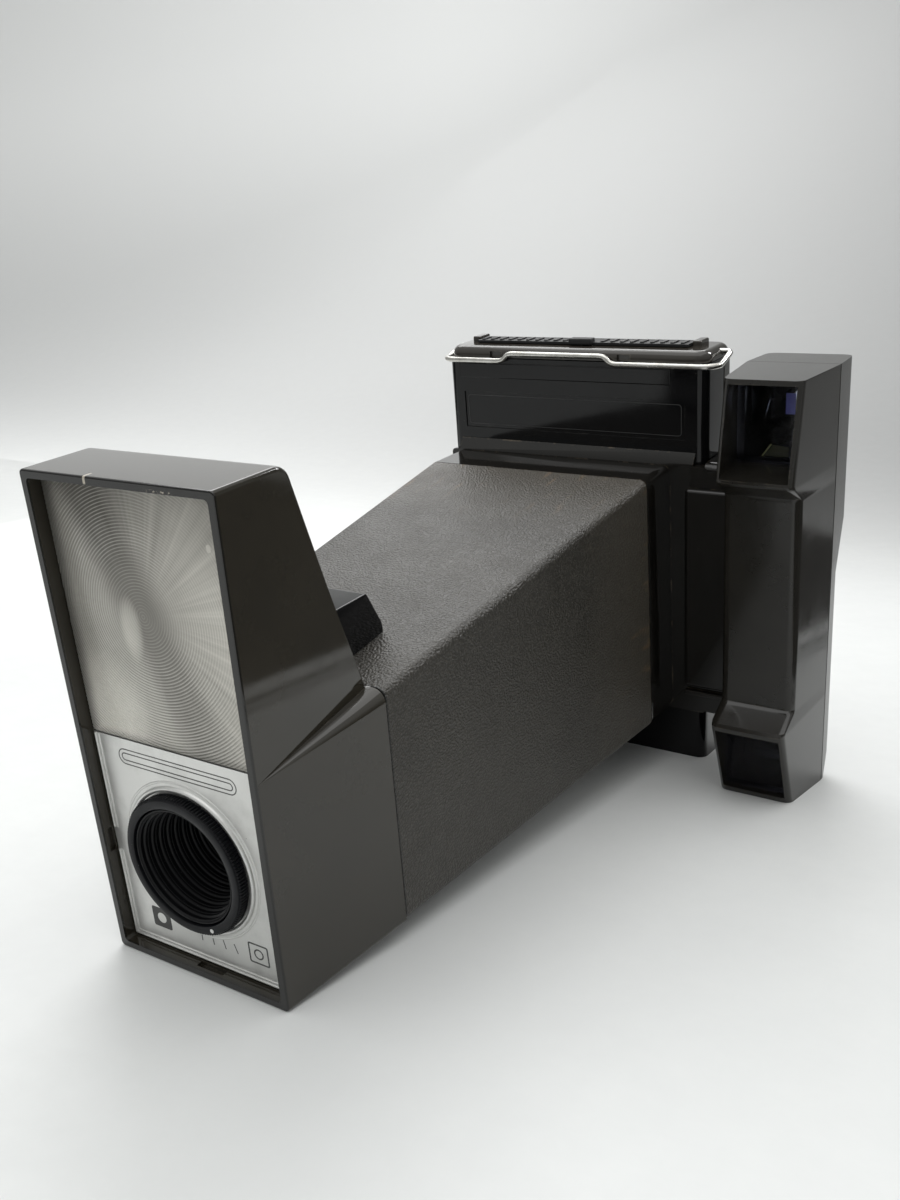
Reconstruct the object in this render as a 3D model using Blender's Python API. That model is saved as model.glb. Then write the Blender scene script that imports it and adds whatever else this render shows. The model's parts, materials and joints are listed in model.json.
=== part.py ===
"""Instant portrait camera for peel-apart pack film.

A long fixed-focus body carries a lens panel and a tall flash diffuser hood in front,
a film chamber with a hinged back door behind, and a viewfinder column at its side.

Sizes below are millimetres in the camera's own frame: X to the side, Y backwards from
the front rim, Z up.  add_part turns them into metres.  The root empty tips the camera
nose-down by REST_TILT, so that it stands on its front edge, film chamber and column.
"""
import math

import bmesh
import bpy
from mathutils import Matrix, Vector

MM = 0.001
GAP = 0.3

# Resting attitude: the floor seen from the camera's own frame is a sloping plane.
FLOOR_SLOPE = 0.1324
REST_TILT = math.atan(FLOOR_SLOPE)

# Front housing: lens box below, flash hood above.
HOUSING_HEIGHT = 177.4
HOUSING_DEPTH = 58.3
HOUSING_WALL = 2.6
RIM_WALL = 2.8
RIM_DEPTH = 7.5
FRONT_HALF_BOTTOM = 39.4
FRONT_HALF_CREASE = 40.0
FRONT_HALF_TOP = 41.0
CREASE_HEIGHT = 85.0
SEAM_HALF_BOTTOM = 46.45
SEAM_HALF_TOP = 47.1
SEAM_TOP = 93.3
SEAM_ROUND = 4.8
SEAM_ROUND_STEPS = 4
HOOD_FOOT = 93.6
HOOD_KNEE = 125.0
HOOD_KNEE_DEPTH = 47.2
HOOD_TOP_DEPTH = 31.0
SHELF_BOTTOM = 87.5
SHELF_TOP = 95.0

# Front panels.
PANEL_FACE = 5.0
PANEL_BACK = 7.2
PLATE_BOTTOM = 3.2
PLATE_TOP = 85.1
PLATE_HALF_BOTTOM = 36.25
PLATE_HALF_TOP = 36.9
DIFFUSER_BOTTOM = 85.7
DIFFUSER_TOP = 174.2
DIFFUSER_HALF_BOTTOM = 36.95
DIFFUSER_HALF_TOP = 37.8
GROOVE_CENTRE_X = -2.0
GROOVE_CENTRE_Z = 132.0
GROOVE_COUNT = 5
GROOVE_PITCH = 6.4

# Lens and shutter on the optical axis.
AXIS_Z = 44.0
RING_OUTER = 25.8
RING_INNER = 22.0
RING_HUB = 23.4
RING_FRONT = 0.0
RING_TEETH = 60
DOT_X = 9.6
DOT_Z = 22.4
HOOD_RIB_COUNT = 8
HOOD_RIB_PITCH = 4.9
LENS_RADIUS = 8.7
BLADE_PIVOT_X = -17.0
BLADE_PIVOT_Z = 62.0
DISC_PIVOT_X = 13.0
DISC_RADIUS = 19.0
LEVER_PIVOT_X = -32.0
LEVER_PIVOT_Z = 60.0
LEVER_FRONT = 47.6
LEVER_BACK = 49.4
BOARD_FRONT = 56.0
BOARD_BACK = 57.8

# Flash socket block behind the hood.
BLOCK_HALF = 23.0
BLOCK_TOP = 115.0
BLOCK_BACK = 92.0
SOCKET_Y = 70.0
SOCKET_RADIUS = 11.9
TRIGGER_X = 16.0

# Body tube and the collar behind it.
TUBE_FRONT = 58.6
TUBE_BACK = 249.0
TUBE_WALL = 2.5
TUBE_HALF_BOTTOM = 59.0
TUBE_HALF_TOP = 57.8
TUBE_BOTTOM = -7.6
TUBE_TOP = 115.2
COLLAR_FRONT = 249.3
FLANGE_FRONT = 275.0
FLANGE_BACK = 278.7

# Film chamber, door and cap.
CHAMBER_LEFT = -63.0
CHAMBER_RIGHT = 74.0
CHAMBER_FRONT = 279.0
CHAMBER_BACK = 301.0
CHAMBER_TOP = 161.2
CHAMBER_WALL = 2.6
CHAMBER_SILL = -29.3
DOOR_FRONT = 301.3
DOOR_BACK = 311.0
DOOR_BOTTOM = -29.0
DOOR_TOP = 161.0
DOOR_WALL = 2.2
HINGE_Y = 306.0
HINGE_Z = -33.0
KNUCKLE_RADIUS = 3.2
PIN_RADIUS = 1.2
CAP_BOTTOM = 161.6
CAP_TOP = 166.8
CAP_FRONT = 279.6
SLOT_LEFT = -47.0
SLOT_RIGHT = 58.0
SLOT_FRONT = 290.6
SLOT_BACK = 296.6
FLAP_LEFT = -51.0
FLAP_RIGHT = 61.0
FLAP_PIVOT_Y = 299.5
FLAP_PIVOT_Z = 167.8
BAIL_RADIUS = 1.3
BAIL_PIVOT_Y = 298.0
BAIL_PIVOT_Z = 164.2
BAIL_FRONT_Y = 277.2
BAIL_FRONT_Z = 160.6
BAIL_ARCH = 3.5
BAIL_LEFT = -65.3
BAIL_RIGHT = 78.6
ROLLER_RADIUS = 4.2
ROLLER_Z = 150.0
ROLLER_FRONT_Y = 289.1
ROLLER_REAR_Y = 297.9

# Viewfinder column.
COLUMN_TOP = 162.6
COLUMN_SEAM = 284.0
COLUMN_FACE = 247.0
COLUMN_FACE_LEFT = 94.0
COLUMN_FACE_RIGHT = 127.2
COLUMN_SEAM_LEFT = 90.6
COLUMN_SEAM_RIGHT = 131.4
COLUMN_BACK_LEFT = 93.0
COLUMN_BACK_RIGHT = 131.0
COLUMN_WALL = 2.4
COLUMN_MIDDLE = 110.6
SCREW_X = 100.0
OPTICS_X = 113.0
FINDER_Z = 141.0
MIRROR_Z = -12.0
OPTICS_Y = 269.5
DIAL_Z = 28.0
DIAL_FACE = 296.5
SCREW_PLACES = ((104.0, 306.0), (13.0, DIAL_FACE))

ROUND_STEPS = 36


def floor_z(y):
    """Height of the floor below a point, in the camera's own frame."""
    return -FLOOR_SLOPE * y


def blend(start, end, share):
    """Straight-line value between start and end."""
    return start + (end - start) * share


# ---------------------------------------------------------------- solid builders

def solid_from(points, faces):
    """Closed solid from corner points and faces."""
    solid = bmesh.new()
    corners = [solid.verts.new(point) for point in points]
    for face in faces:
        solid.faces.new([corners[index] for index in face])
    bmesh.ops.recalc_face_normals(solid, faces=solid.faces)
    return solid


def loft(rings, wrap=False):
    """Solid through a row of rings; wrap joins the last ring to the first one."""
    solid = bmesh.new()
    rows = [[solid.verts.new(point) for point in ring] for ring in rings]
    count = len(rows[0])
    pairs = list(zip(rows, rows[1:]))
    if wrap:
        pairs.append((rows[-1], rows[0]))
    for first, second in pairs:
        for index in range(count):
            after = (index + 1) % count
            solid.faces.new((first[index], first[after], second[after], second[index]))
    if not wrap:
        solid.faces.new(rows[0])
        solid.faces.new(rows[-1])
    bmesh.ops.recalc_face_normals(solid, faces=solid.faces)
    return solid


def rounded(corners, radii, steps=4):
    """Outline with rounded corners; radii is one number or one for each corner."""
    count = len(corners)
    if not isinstance(radii, (list, tuple)):
        radii = [radii] * count
    outline = []
    for index in range(count):
        here = Vector(corners[index])
        back = (Vector(corners[index - 1]) - here).normalized()
        ahead = (Vector(corners[(index + 1) % count]) - here).normalized()
        half = back.angle(ahead) / 2
        reach = radii[index] / math.tan(half)
        centre = here + (back + ahead).normalized() * (radii[index] / math.sin(half))
        start = here + back * reach - centre
        sweep = math.pi - 2 * half
        if back.x * ahead.y - back.y * ahead.x > 0:
            sweep = -sweep
        for step in range(steps + 1):
            turn = Matrix.Rotation(sweep * step / steps, 2)
            outline.append(centre + turn @ start)
    return outline


def rectangle(left, right, low, high):
    """Four corners of an upright rectangle."""
    return [(left, low), (right, low), (right, high), (left, high)]


def circle(radius, steps=ROUND_STEPS, centre=(0.0, 0.0)):
    """Round outline."""
    angles = [2 * math.pi * step / steps for step in range(steps)]
    return [(centre[0] + radius * math.cos(a), centre[1] + radius * math.sin(a)) for a in angles]


def along_x(outline, x):
    """Outline of (y, z) points placed at x."""
    return [Vector((x, point[0], point[1])) for point in outline]


def along_y(outline, y):
    """Outline of (x, z) points placed at y."""
    return [Vector((point[0], y, point[1])) for point in outline]


def along_z(outline, z):
    """Outline of (x, y) points placed at z."""
    return [Vector((point[0], point[1], z)) for point in outline]


def bar_x(outline, start, end):
    """Prism along X."""
    return loft([along_x(outline, start), along_x(outline, end)])


def bar_y(outline, start, end):
    """Prism along Y."""
    return loft([along_y(outline, start), along_y(outline, end)])


def bar_z(outline, start, end):
    """Prism along Z."""
    return loft([along_z(outline, start), along_z(outline, end)])


def block(x_range, y_range, z_range, edge=0.0):
    """Box, with all its edges rounded when edge is given."""
    solid = bar_z(rectangle(*x_range, *y_range), *z_range)
    if edge:
        soften(solid, edge)
    return solid


def turned(profile, centre, axis="Y", steps=ROUND_STEPS, teeth=None, tooth_depth=0.0):
    """Ring turned from a closed profile of (radius, place along the axis).

    Profile points whose index is in teeth are pulled in on every second step,
    which cuts a row of grip teeth.
    """
    rings = []
    for index, (radius, place) in enumerate(profile):
        outline = []
        for step in range(steps):
            angle = 2 * math.pi * step / steps
            reach = radius
            if teeth and index in teeth and step % 2:
                reach = radius - tooth_depth
            outline.append((reach * math.cos(angle), reach * math.sin(angle)))
        rings.append(stand(outline, centre, place, axis))
    return loft(rings, wrap=True)


def spindle(profile, centre, axis="Y", steps=ROUND_STEPS):
    """Solid turned part with flat ends."""
    return loft([stand(circle(radius, steps), centre, place, axis) for radius, place in profile])


def stand(outline, centre, place, axis):
    """Outline about a centre, placed along the chosen axis."""
    moved = [(centre[0] + point[0], centre[1] + point[1]) for point in outline]
    return {"X": along_x, "Y": along_y, "Z": along_z}[axis](moved, place)


def swept(path, radius, sides=10):
    """Round wire along a path."""
    points = [Vector(point) for point in path]
    heading = (points[1] - points[0]).normalized()
    across = heading.orthogonal().normalized()
    rings = []
    for index, point in enumerate(points):
        before = points[max(index - 1, 0)]
        after = points[min(index + 1, len(points) - 1)]
        heading = (after - before).normalized()
        across = (across - heading * across.dot(heading)).normalized()
        side = heading.cross(across)
        angles = [2 * math.pi * step / sides for step in range(sides)]
        rings.append([point + (across * math.cos(a) + side * math.sin(a)) * radius for a in angles])
    return loft(rings)


def soften(solid, size, segments=3, least=30.0, keep=None):
    """Round the sharp edges; keep picks them by their two end points."""
    chosen = []
    for edge in solid.edges:
        if not edge.is_manifold or edge.calc_face_angle(0.0) < math.radians(least):
            continue
        if keep is None or keep(edge.verts[0].co, edge.verts[1].co):
            chosen.append(edge)
    bmesh.ops.bevel(
        solid,
        geom=chosen,
        offset=size,
        offset_type="OFFSET",
        segments=segments,
        profile=0.5,
        affect="EDGES",
        clamp_overlap=True,
    )
    bmesh.ops.recalc_face_normals(solid, faces=solid.faces)


def combined(base, tool, operation):
    """Boolean of two solids; both are used up."""
    holders = []
    for solid in (base, tool):
        mesh = bpy.data.meshes.new("work")
        solid.to_mesh(mesh)
        solid.free()
        holder = bpy.data.objects.new("work", mesh)
        bpy.context.scene.collection.objects.link(holder)
        holders.append(holder)
    modifier = holders[0].modifiers.new("shape", "BOOLEAN")
    modifier.operation = operation
    modifier.solver = "EXACT"
    modifier.object = holders[1]
    result = bmesh.new()
    result.from_object(holders[0], bpy.context.evaluated_depsgraph_get())
    for holder in holders:
        mesh = holder.data
        bpy.data.objects.remove(holder)
        bpy.data.meshes.remove(mesh)
    bmesh.ops.remove_doubles(result, verts=result.verts, dist=0.0005)
    bmesh.ops.dissolve_degenerate(result, edges=result.edges, dist=0.0005)
    return result


def cut(base, *tools):
    """Take each tool away from the base."""
    for tool in tools:
        base = combined(base, tool, "DIFFERENCE")
    return base


def joined(base, *tools):
    """Join each tool to the base."""
    for tool in tools:
        base = combined(base, tool, "UNION")
    return base


# ---------------------------------------------------------------- scene helpers

def finish_material(name, colour, roughness, metallic=0.0, transmission=0.0):
    """Principled material for one sub-part."""
    material = bpy.data.materials.new(name)
    material.use_nodes = True
    shader = material.node_tree.nodes["Principled BSDF"]
    shader.inputs["Base Color"].default_value = (*colour, 1.0)
    shader.inputs["Roughness"].default_value = roughness
    shader.inputs["Metallic"].default_value = metallic
    shader.inputs["Transmission Weight"].default_value = transmission
    material.diffuse_color = (*colour, 1.0)
    material.roughness = roughness
    material.metallic = metallic
    return material


BROWN_GLOSS = ((0.052, 0.046, 0.040), 0.30, 0.0)
BROWN_GRAIN = ((0.050, 0.045, 0.039), 0.62, 0.0)
BLACK_GLOSS = ((0.010, 0.010, 0.011), 0.18, 0.0)
BLACK_MATT = ((0.012, 0.012, 0.012), 0.60, 0.0)
CAP_GREY = ((0.085, 0.076, 0.066), 0.32, 0.0)
SATIN_SILVER = ((0.56, 0.56, 0.55), 0.38, 0.9)
CHROME = ((0.72, 0.72, 0.71), 0.14, 1.0)
SPRING_STEEL = ((0.42, 0.42, 0.41), 0.30, 1.0)
DARK_STEEL = ((0.12, 0.12, 0.12), 0.35, 1.0)
CLEAR_PLASTIC = ((0.60, 0.60, 0.58), 0.25, 0.0, 0.55)
CLEAR_GLASS = ((0.80, 0.84, 0.86), 0.05, 0.0, 0.85)
COATED_GLASS = ((0.30, 0.34, 0.55), 0.06, 0.3, 0.5)
WHITE_PAINT = ((0.80, 0.80, 0.78), 0.45, 0.0)
REFLECTOR = ((0.70, 0.70, 0.70), 0.20, 0.95)


def add_part(root, name, solid, finish, pivot=(0.0, 0.0, 0.0), smooth_angle=32.0):
    """Turn a solid into a named object in metres, with its origin at the pivot."""
    bmesh.ops.remove_doubles(solid, verts=solid.verts, dist=0.0005)
    bmesh.ops.recalc_face_normals(solid, faces=solid.faces)
    bmesh.ops.translate(solid, verts=solid.verts, vec=-Vector(pivot))
    bmesh.ops.scale(solid, verts=solid.verts, vec=(MM, MM, MM))
    mesh = bpy.data.meshes.new(name)
    solid.to_mesh(mesh)
    solid.free()
    mesh.shade_smooth()
    mesh.set_sharp_from_angle(angle=math.radians(smooth_angle))
    mesh.materials.append(finish_material(name + "_finish", *finish))
    part = bpy.data.objects.new(name, mesh)
    bpy.context.scene.collection.objects.link(part)
    part.parent = root
    part.location = Vector(pivot) * MM
    return part


# ---------------------------------------------------------------- front housing

def hood_half(z):
    """Half width of the hood at a height."""
    share = (z - CREASE_HEIGHT) / (HOUSING_HEIGHT - CREASE_HEIGHT)
    return blend(FRONT_HALF_CREASE, FRONT_HALF_TOP, share)


def hood_rear(z):
    """Depth of the hood's sloping rear edge at a height."""
    if z < HOOD_KNEE:
        share = (z - HOOD_FOOT) / (HOOD_KNEE - HOOD_FOOT)
        return blend(HOUSING_DEPTH, HOOD_KNEE_DEPTH, share)
    share = (z - HOOD_KNEE) / (HOUSING_HEIGHT - HOOD_KNEE)
    return blend(HOOD_KNEE_DEPTH, HOOD_TOP_DEPTH, share)


def housing_outside():
    """Outer shape of lens box and hood with its side crease."""
    right = [
        (FRONT_HALF_BOTTOM, 0.0, 0.0),
        (FRONT_HALF_CREASE, 0.0, CREASE_HEIGHT),
        (FRONT_HALF_TOP, 0.0, HOUSING_HEIGHT),
        (SEAM_HALF_BOTTOM, HOUSING_DEPTH, 0.0),
        (hood_half(HOOD_FOOT), HOUSING_DEPTH, HOOD_FOOT),
        (hood_half(HOOD_KNEE), HOOD_KNEE_DEPTH, HOOD_KNEE),
        (FRONT_HALF_TOP, HOOD_TOP_DEPTH, HOUSING_HEIGHT),
    ]
    for step in range(SEAM_ROUND_STEPS + 1):
        angle = math.pi / 2 * step / SEAM_ROUND_STEPS
        x = SEAM_HALF_TOP - SEAM_ROUND * (1 - math.cos(angle))
        z = SEAM_TOP - SEAM_ROUND * (1 - math.sin(angle))
        right.append((x, HOUSING_DEPTH, z))
    left = [(-x, y, z) for x, y, z in right]
    side = len(right)
    faces = [
        (0, side, side + 1, side + 2, 2, 1),
        (0, 3, side + 3, side),
        (4, 5, side + 5, side + 4),
        (5, 6, side + 6, side + 5),
        (2, 6, side + 6, side + 2),
    ]
    corner = range(7, side)
    back = [3] + list(corner) + [4]
    faces.append(tuple(back + [side + index for index in reversed(back)]))
    for offset in (0, side):
        faces.append((offset, offset + 3, offset + 7, offset + 1))
        for index in corner:
            after = index + 1 if index + 1 < side else 4
            faces.append((offset + 1, offset + index, offset + after))
        faces.append((offset + 1, offset + 4, offset + 5, offset + 6, offset + 2))
    shape = solid_from(right + left, faces)
    soften(shape, 4.5, 5, keep=lambda a, b: min(a.z, b.z) > HOUSING_HEIGHT - 0.1 and min(a.y, b.y) > 20)
    soften(shape, 1.6, 3, keep=outer_long_edge)
    soften(shape, 0.7, 2, keep=lambda a, b: max(a.y, b.y) < 0.01)
    return shape


def outer_long_edge(a, b):
    """Edges that run from the front rim towards the back or down the hood's rear."""
    on_rim = max(a.y, b.y) < 0.01
    on_seam = min(a.y, b.y) > HOUSING_DEPTH - 0.01
    on_crease = min(a.z, b.z) > CREASE_HEIGHT - 1 and max(a.z, b.z) < HOOD_FOOT + 1
    across = abs(a.x - b.x) > 30
    return not (on_rim or on_seam or on_crease or across)


def hood_slice(z, front, side_gap, rear_shift):
    """Plan outline inside the hood at a height."""
    half = hood_half(z) - side_gap
    outline = rectangle(-half, half, front, hood_rear(z) + rear_shift)
    return along_z(outline, z)


def front_housing(root):
    """One moulding: rim, lens box, dividing shelf and open-backed hood."""
    top_half = FRONT_HALF_TOP - RIM_WALL
    bottom_half = FRONT_HALF_BOTTOM - RIM_WALL
    mouth = [
        (-bottom_half, RIM_WALL),
        (bottom_half, RIM_WALL),
        (top_half, HOUSING_HEIGHT - RIM_WALL),
        (-top_half, HOUSING_HEIGHT - RIM_WALL),
    ]
    recess = bar_y(rounded(mouth, 1.5), -2.0, RIM_DEPTH)
    lens_box = []
    for y, inset in ((RIM_DEPTH - 1, 5.0), (10.0, 5.0), (13.0, HOUSING_WALL), (60.0, HOUSING_WALL)):
        share = y / HOUSING_DEPTH
        low = blend(FRONT_HALF_BOTTOM, SEAM_HALF_BOTTOM, share) - inset
        high = blend(FRONT_HALF_CREASE, SEAM_HALF_TOP, share) - inset
        outline = [(-low, inset), (low, inset), (high, SHELF_BOTTOM), (-high, SHELF_BOTTOM)]
        lens_box.append(along_y(rounded(outline, 1.5), y))
    hood_mouth = rectangle(-36.0, 36.0, SHELF_TOP + 2, HOUSING_HEIGHT - 5)
    hood_inside = loft([
        hood_slice(SHELF_TOP, 12.0, HOUSING_WALL, 8.0),
        hood_slice(HOOD_KNEE, 12.0, HOUSING_WALL, 8.0),
        hood_slice(HOUSING_HEIGHT - RIM_WALL, 12.0, HOUSING_WALL, 8.0),
    ])
    lever_slot = block((-60, -36), (LEVER_FRONT - 0.8, LEVER_BACK + 0.8), (52.0, 63.5))
    rim_slot = block((-3, 9), (1.6, 4.2), (1.4, 5.0))
    clip_pocket = block((-38.4, -35.0), (1.8, 4.4), (39.0, 48.0))
    shell = cut(
        housing_outside(),
        recess,
        loft(lens_box),
        bar_y(hood_mouth, RIM_DEPTH - 1, 13.0),
        hood_inside,
        lever_slot,
        rim_slot,
        clip_pocket,
    )
    add_part(root, "front_housing", shell, BROWN_GLOSS)


def fresnel_diffuser(root):
    """Flash diffuser panel with concentric lens steps."""
    outline = [
        (-DIFFUSER_HALF_BOTTOM, DIFFUSER_BOTTOM),
        (DIFFUSER_HALF_BOTTOM, DIFFUSER_BOTTOM),
        (DIFFUSER_HALF_TOP, DIFFUSER_TOP),
        (-DIFFUSER_HALF_TOP, DIFFUSER_TOP),
    ]
    panel = bar_y(rounded(outline, 1.0, 2), PANEL_FACE, PANEL_BACK)
    centre = (GROOVE_CENTRE_X, GROOVE_CENTRE_Z)
    for index in range(GROOVE_COUNT):
        radius = (index + 1) * GROOVE_PITCH
        groove = [
            (radius - 0.3, PANEL_FACE - 1.0),
            (radius + 0.3, PANEL_FACE - 1.0),
            (radius + 0.3, PANEL_FACE + 0.5),
            (radius - 0.3, PANEL_FACE + 0.2),
        ]
        panel = cut(panel, turned(groove, centre, steps=40))
    add_part(root, "fresnel_diffuser", panel, CLEAR_PLASTIC)


def faceplate(root):
    """Silver lens panel with a raised lip around the exposure ring."""
    outline = [
        (-PLATE_HALF_BOTTOM, PLATE_BOTTOM),
        (PLATE_HALF_BOTTOM, PLATE_BOTTOM),
        (PLATE_HALF_TOP, PLATE_TOP),
        (-PLATE_HALF_TOP, PLATE_TOP),
    ]
    panel = bar_y(rounded(outline, 1.2, 3), PANEL_FACE, PANEL_BACK)
    lip = [(26.7, 3.8), (27.7, 3.8), (28.3, 5.6), (26.2, 5.6)]
    panel = joined(panel, turned(lip, (0.0, AXIS_Z), steps=48))
    panel = cut(panel, spindle([(RING_HUB + 0.5, 0.0), (RING_HUB + 0.5, 10.0)], (0.0, AXIS_Z)))
    add_part(root, "faceplate", panel, SATIN_SILVER)


# ---------------------------------------------------------------- lens and shutter

def exposure_ring(root):
    """Knurled lighten and darken ring that turns around the lens hood."""
    front = RING_FRONT
    profile = [
        (RING_INNER, front + 0.4),
        (RING_INNER + 0.5, front),
        (24.6, front),
        (25.2, front + 0.4),
        (RING_OUTER, front + 1.2),
        (RING_OUTER, 3.9),
        (25.4, 4.6),
        (RING_HUB, 4.6),
        (RING_HUB, 8.0),
        (RING_INNER, 8.0),
    ]
    steps = RING_TEETH * 2
    ring = turned(profile, (0.0, AXIS_Z), steps=steps, teeth=(4, 5), tooth_depth=0.6)
    seat = spindle([(1.1, front - 1), (1.1, front + 0.9)], (DOT_X, DOT_Z), steps=16)
    ring = cut(ring, seat)
    add_part(root, "exposure_ring", ring, BLACK_MATT, (0.0, front, AXIS_Z))
    dot = spindle([(0.8, front - 0.1), (0.8, front + 0.6)], (DOT_X, DOT_Z), steps=16)
    add_part(root, "ring_dot", dot, WHITE_PAINT)


def lens_hood(root):
    """Ribbed black tunnel that narrows to the lens seat."""
    outside = [(8.0, 45.4), (9.1, 45.6), (9.1, 51.0), (11.6, 51.0), (11.6, 44.0), (21.4, 10.6)]
    outside += [(28.4, 10.6), (28.4, 8.5), (21.6, 8.5), (21.6, 0.8)]
    inside = []
    for index in range(HOOD_RIB_COUNT):
        start = 1.2 + index * HOOD_RIB_PITCH
        rib = blend(19.4, 9.6, index / (HOOD_RIB_COUNT - 1))
        inside.append((rib + 1.3, start))
        inside.append((rib + 1.3, start + 2.4))
        inside.append((rib, start + 2.4))
        inside.append((rib, start + HOOD_RIB_PITCH))
    inside.append((8.0, 42.0))
    inside[0] = (20.8, 0.8)
    hood = turned(outside + inside, (0.0, AXIS_Z), steps=32)
    add_part(root, "lens_hood", hood, BLACK_MATT)


def lens_set(root):
    """Single lens and its threaded retainer."""
    centre = (0.0, AXIS_Z)
    profile = [(2.0, 45.9), (5.0, 46.15), (LENS_RADIUS, 46.9), (LENS_RADIUS, 48.3)]
    profile += [(5.0, 49.0), (2.0, 49.2)]
    lens = spindle(profile, centre)
    add_part(root, "lens", lens, CLEAR_GLASS)
    ring = turned([(6.6, 49.6), (8.8, 49.6), (8.8, 50.8), (6.6, 50.8)], centre)
    add_part(root, "lens_retainer", ring, DARK_STEEL)


def shutter_board(root):
    """Board across the lens box with the pivot posts of disc, blade and lever."""
    outline = rounded(rectangle(-39.5, 39.5, 7.0, 83.0), 3.0)
    board = bar_y(outline, BOARD_FRONT, BOARD_BACK)
    posts = (
        (BLADE_PIVOT_X, BLADE_PIVOT_Z, 51.2),
        (DISC_PIVOT_X, AXIS_Z, 52.9),
        (LEVER_PIVOT_X, LEVER_PIVOT_Z, 47.0),
    )
    for x, z, front in posts:
        board = joined(board, spindle([(1.5, front), (1.5, BOARD_FRONT + 0.5)], (x, z), steps=16))
    board = cut(board, spindle([(7.0, 50.0), (7.0, 60.0)], (0.0, AXIS_Z), steps=32))
    for x in (-34.0, 34.0):
        board = cut(board, spindle([(1.7, 50.0), (1.7, 60.0)], (x, 12.0), steps=16))
    add_part(root, "shutter_board", board, BLACK_MATT)
    for name, x in (("board_screw_left", -34.0), ("board_screw_right", 34.0)):
        screw = spindle([(2.8, 54.0), (2.8, 55.6), (1.3, 55.7), (1.3, 60.0)], (x, 12.0), steps=16)
        slot = block((x - 4, x + 4), (53.0, 54.6), (11.6, 12.4))
        add_part(root, name, cut(screw, slot), SPRING_STEEL)


def link_outline(start, end, start_radius, end_radius, steps=10):
    """Outline of a flat link with two round ends."""
    first = Vector(start)
    second = Vector(end)
    heading = math.atan2(second.y - first.y, second.x - first.x)
    outline = []
    for centre, radius, base in ((second, end_radius, -0.5), (first, start_radius, 0.5)):
        for step in range(steps + 1):
            angle = heading + math.pi * (base + step / steps)
            reach = Vector((math.cos(angle), math.sin(angle))) * radius
            outline.append(centre + reach)
    return outline


def shutter_parts(root):
    """Aperture disc, shutter blade and release lever."""
    disc = bar_y(circle(DISC_RADIUS, centre=(DISC_PIVOT_X, AXIS_Z)), 53.3, 54.1)
    pivot = spindle([(1.9, 50.0), (1.9, 60.0)], (DISC_PIVOT_X, AXIS_Z), steps=16)
    disc = cut(disc, pivot)
    for radius, degrees in ((3.2, 180.0), (2.4, 142.0), (4.2, 218.0)):
        angle = math.radians(degrees)
        x = DISC_PIVOT_X + DISC_PIVOT_X * math.cos(angle)
        z = AXIS_Z + DISC_PIVOT_X * math.sin(angle)
        disc = cut(disc, spindle([(radius, 50.0), (radius, 60.0)], (x, z), steps=16))
    add_part(root, "aperture_disc", disc, DARK_STEEL, (DISC_PIVOT_X, 53.3, AXIS_Z))

    outline = link_outline((BLADE_PIVOT_X, BLADE_PIVOT_Z), (0.0, AXIS_Z), 3.6, 6.2)
    blade = bar_y(outline, 51.6, 52.4)
    hole = spindle([(1.9, 50.0), (1.9, 60.0)], (BLADE_PIVOT_X, BLADE_PIVOT_Z), steps=16)
    add_part(root, "shutter_blade", cut(blade, hole), DARK_STEEL, (BLADE_PIVOT_X, 51.6, BLADE_PIVOT_Z))

    centre = (LEVER_PIVOT_X, LEVER_PIVOT_Z)
    lever = bar_y(link_outline(centre, (-50.0, LEVER_PIVOT_Z), 3.6, 1.6), LEVER_FRONT, LEVER_BACK)
    inner_arm = bar_y(link_outline(centre, (-19.0, 55.0), 3.0, 1.8), LEVER_FRONT, LEVER_BACK)
    pad = block((-57.5, -49.5), (43.0, 54.0), (57.4, 61.8), 1.3)
    lever = joined(lever, inner_arm, pad)
    hole = spindle([(1.9, 40.0), (1.9, 60.0)], centre, steps=16)
    add_part(root, "shutter_lever", cut(lever, hole), CHROME, (LEVER_PIVOT_X, LEVER_FRONT, LEVER_PIVOT_Z))


# ---------------------------------------------------------------- flash

def flash_reflector(root):
    """Bright funnel from the cube window to the diffuser."""
    rings = []
    for inset in (0.0, 0.8):
        front = rounded(rectangle(-34 + inset, 34 - inset, 99 + inset, 170.5 - inset), 4.0)
        low = (-17 + inset, 17 - inset, 117.5 + inset, 145 - inset)
        throat = rounded(rectangle(*low), 2.0)
        throat_ring = [Vector((x, hood_rear(z) - 3.6, z)) for x, z in throat]
        pair = [along_y(front, 9.0), throat_ring]
        rings += pair if inset == 0.0 else pair[::-1]
    add_part(root, "flash_reflector", loft(rings, wrap=True), REFLECTOR)


def hood_rear_panel(root):
    """Sloping rear wall of the hood with the window in front of the flash cube."""
    low = SHELF_TOP + 0.4
    high = HOUSING_HEIGHT - RIM_WALL - 0.4
    profile = [(hood_rear(z) - 0.6, z) for z in (low, HOOD_KNEE, high)]
    profile += [(hood_rear(z) - 2.8, z) for z in (high, HOOD_KNEE, low)]
    panel = bar_x(profile, -37.1, 37.1)
    window = block((-18, 18), (20, 70), (116.5, 146.5))
    add_part(root, "hood_rear_panel", cut(panel, window), BLACK_MATT)


def tube_top(y):
    """Height of the body tube's top face."""
    return blend(SEAM_TOP, TUBE_TOP, (y - HOUSING_DEPTH) / (TUBE_BACK - HOUSING_DEPTH))


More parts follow.
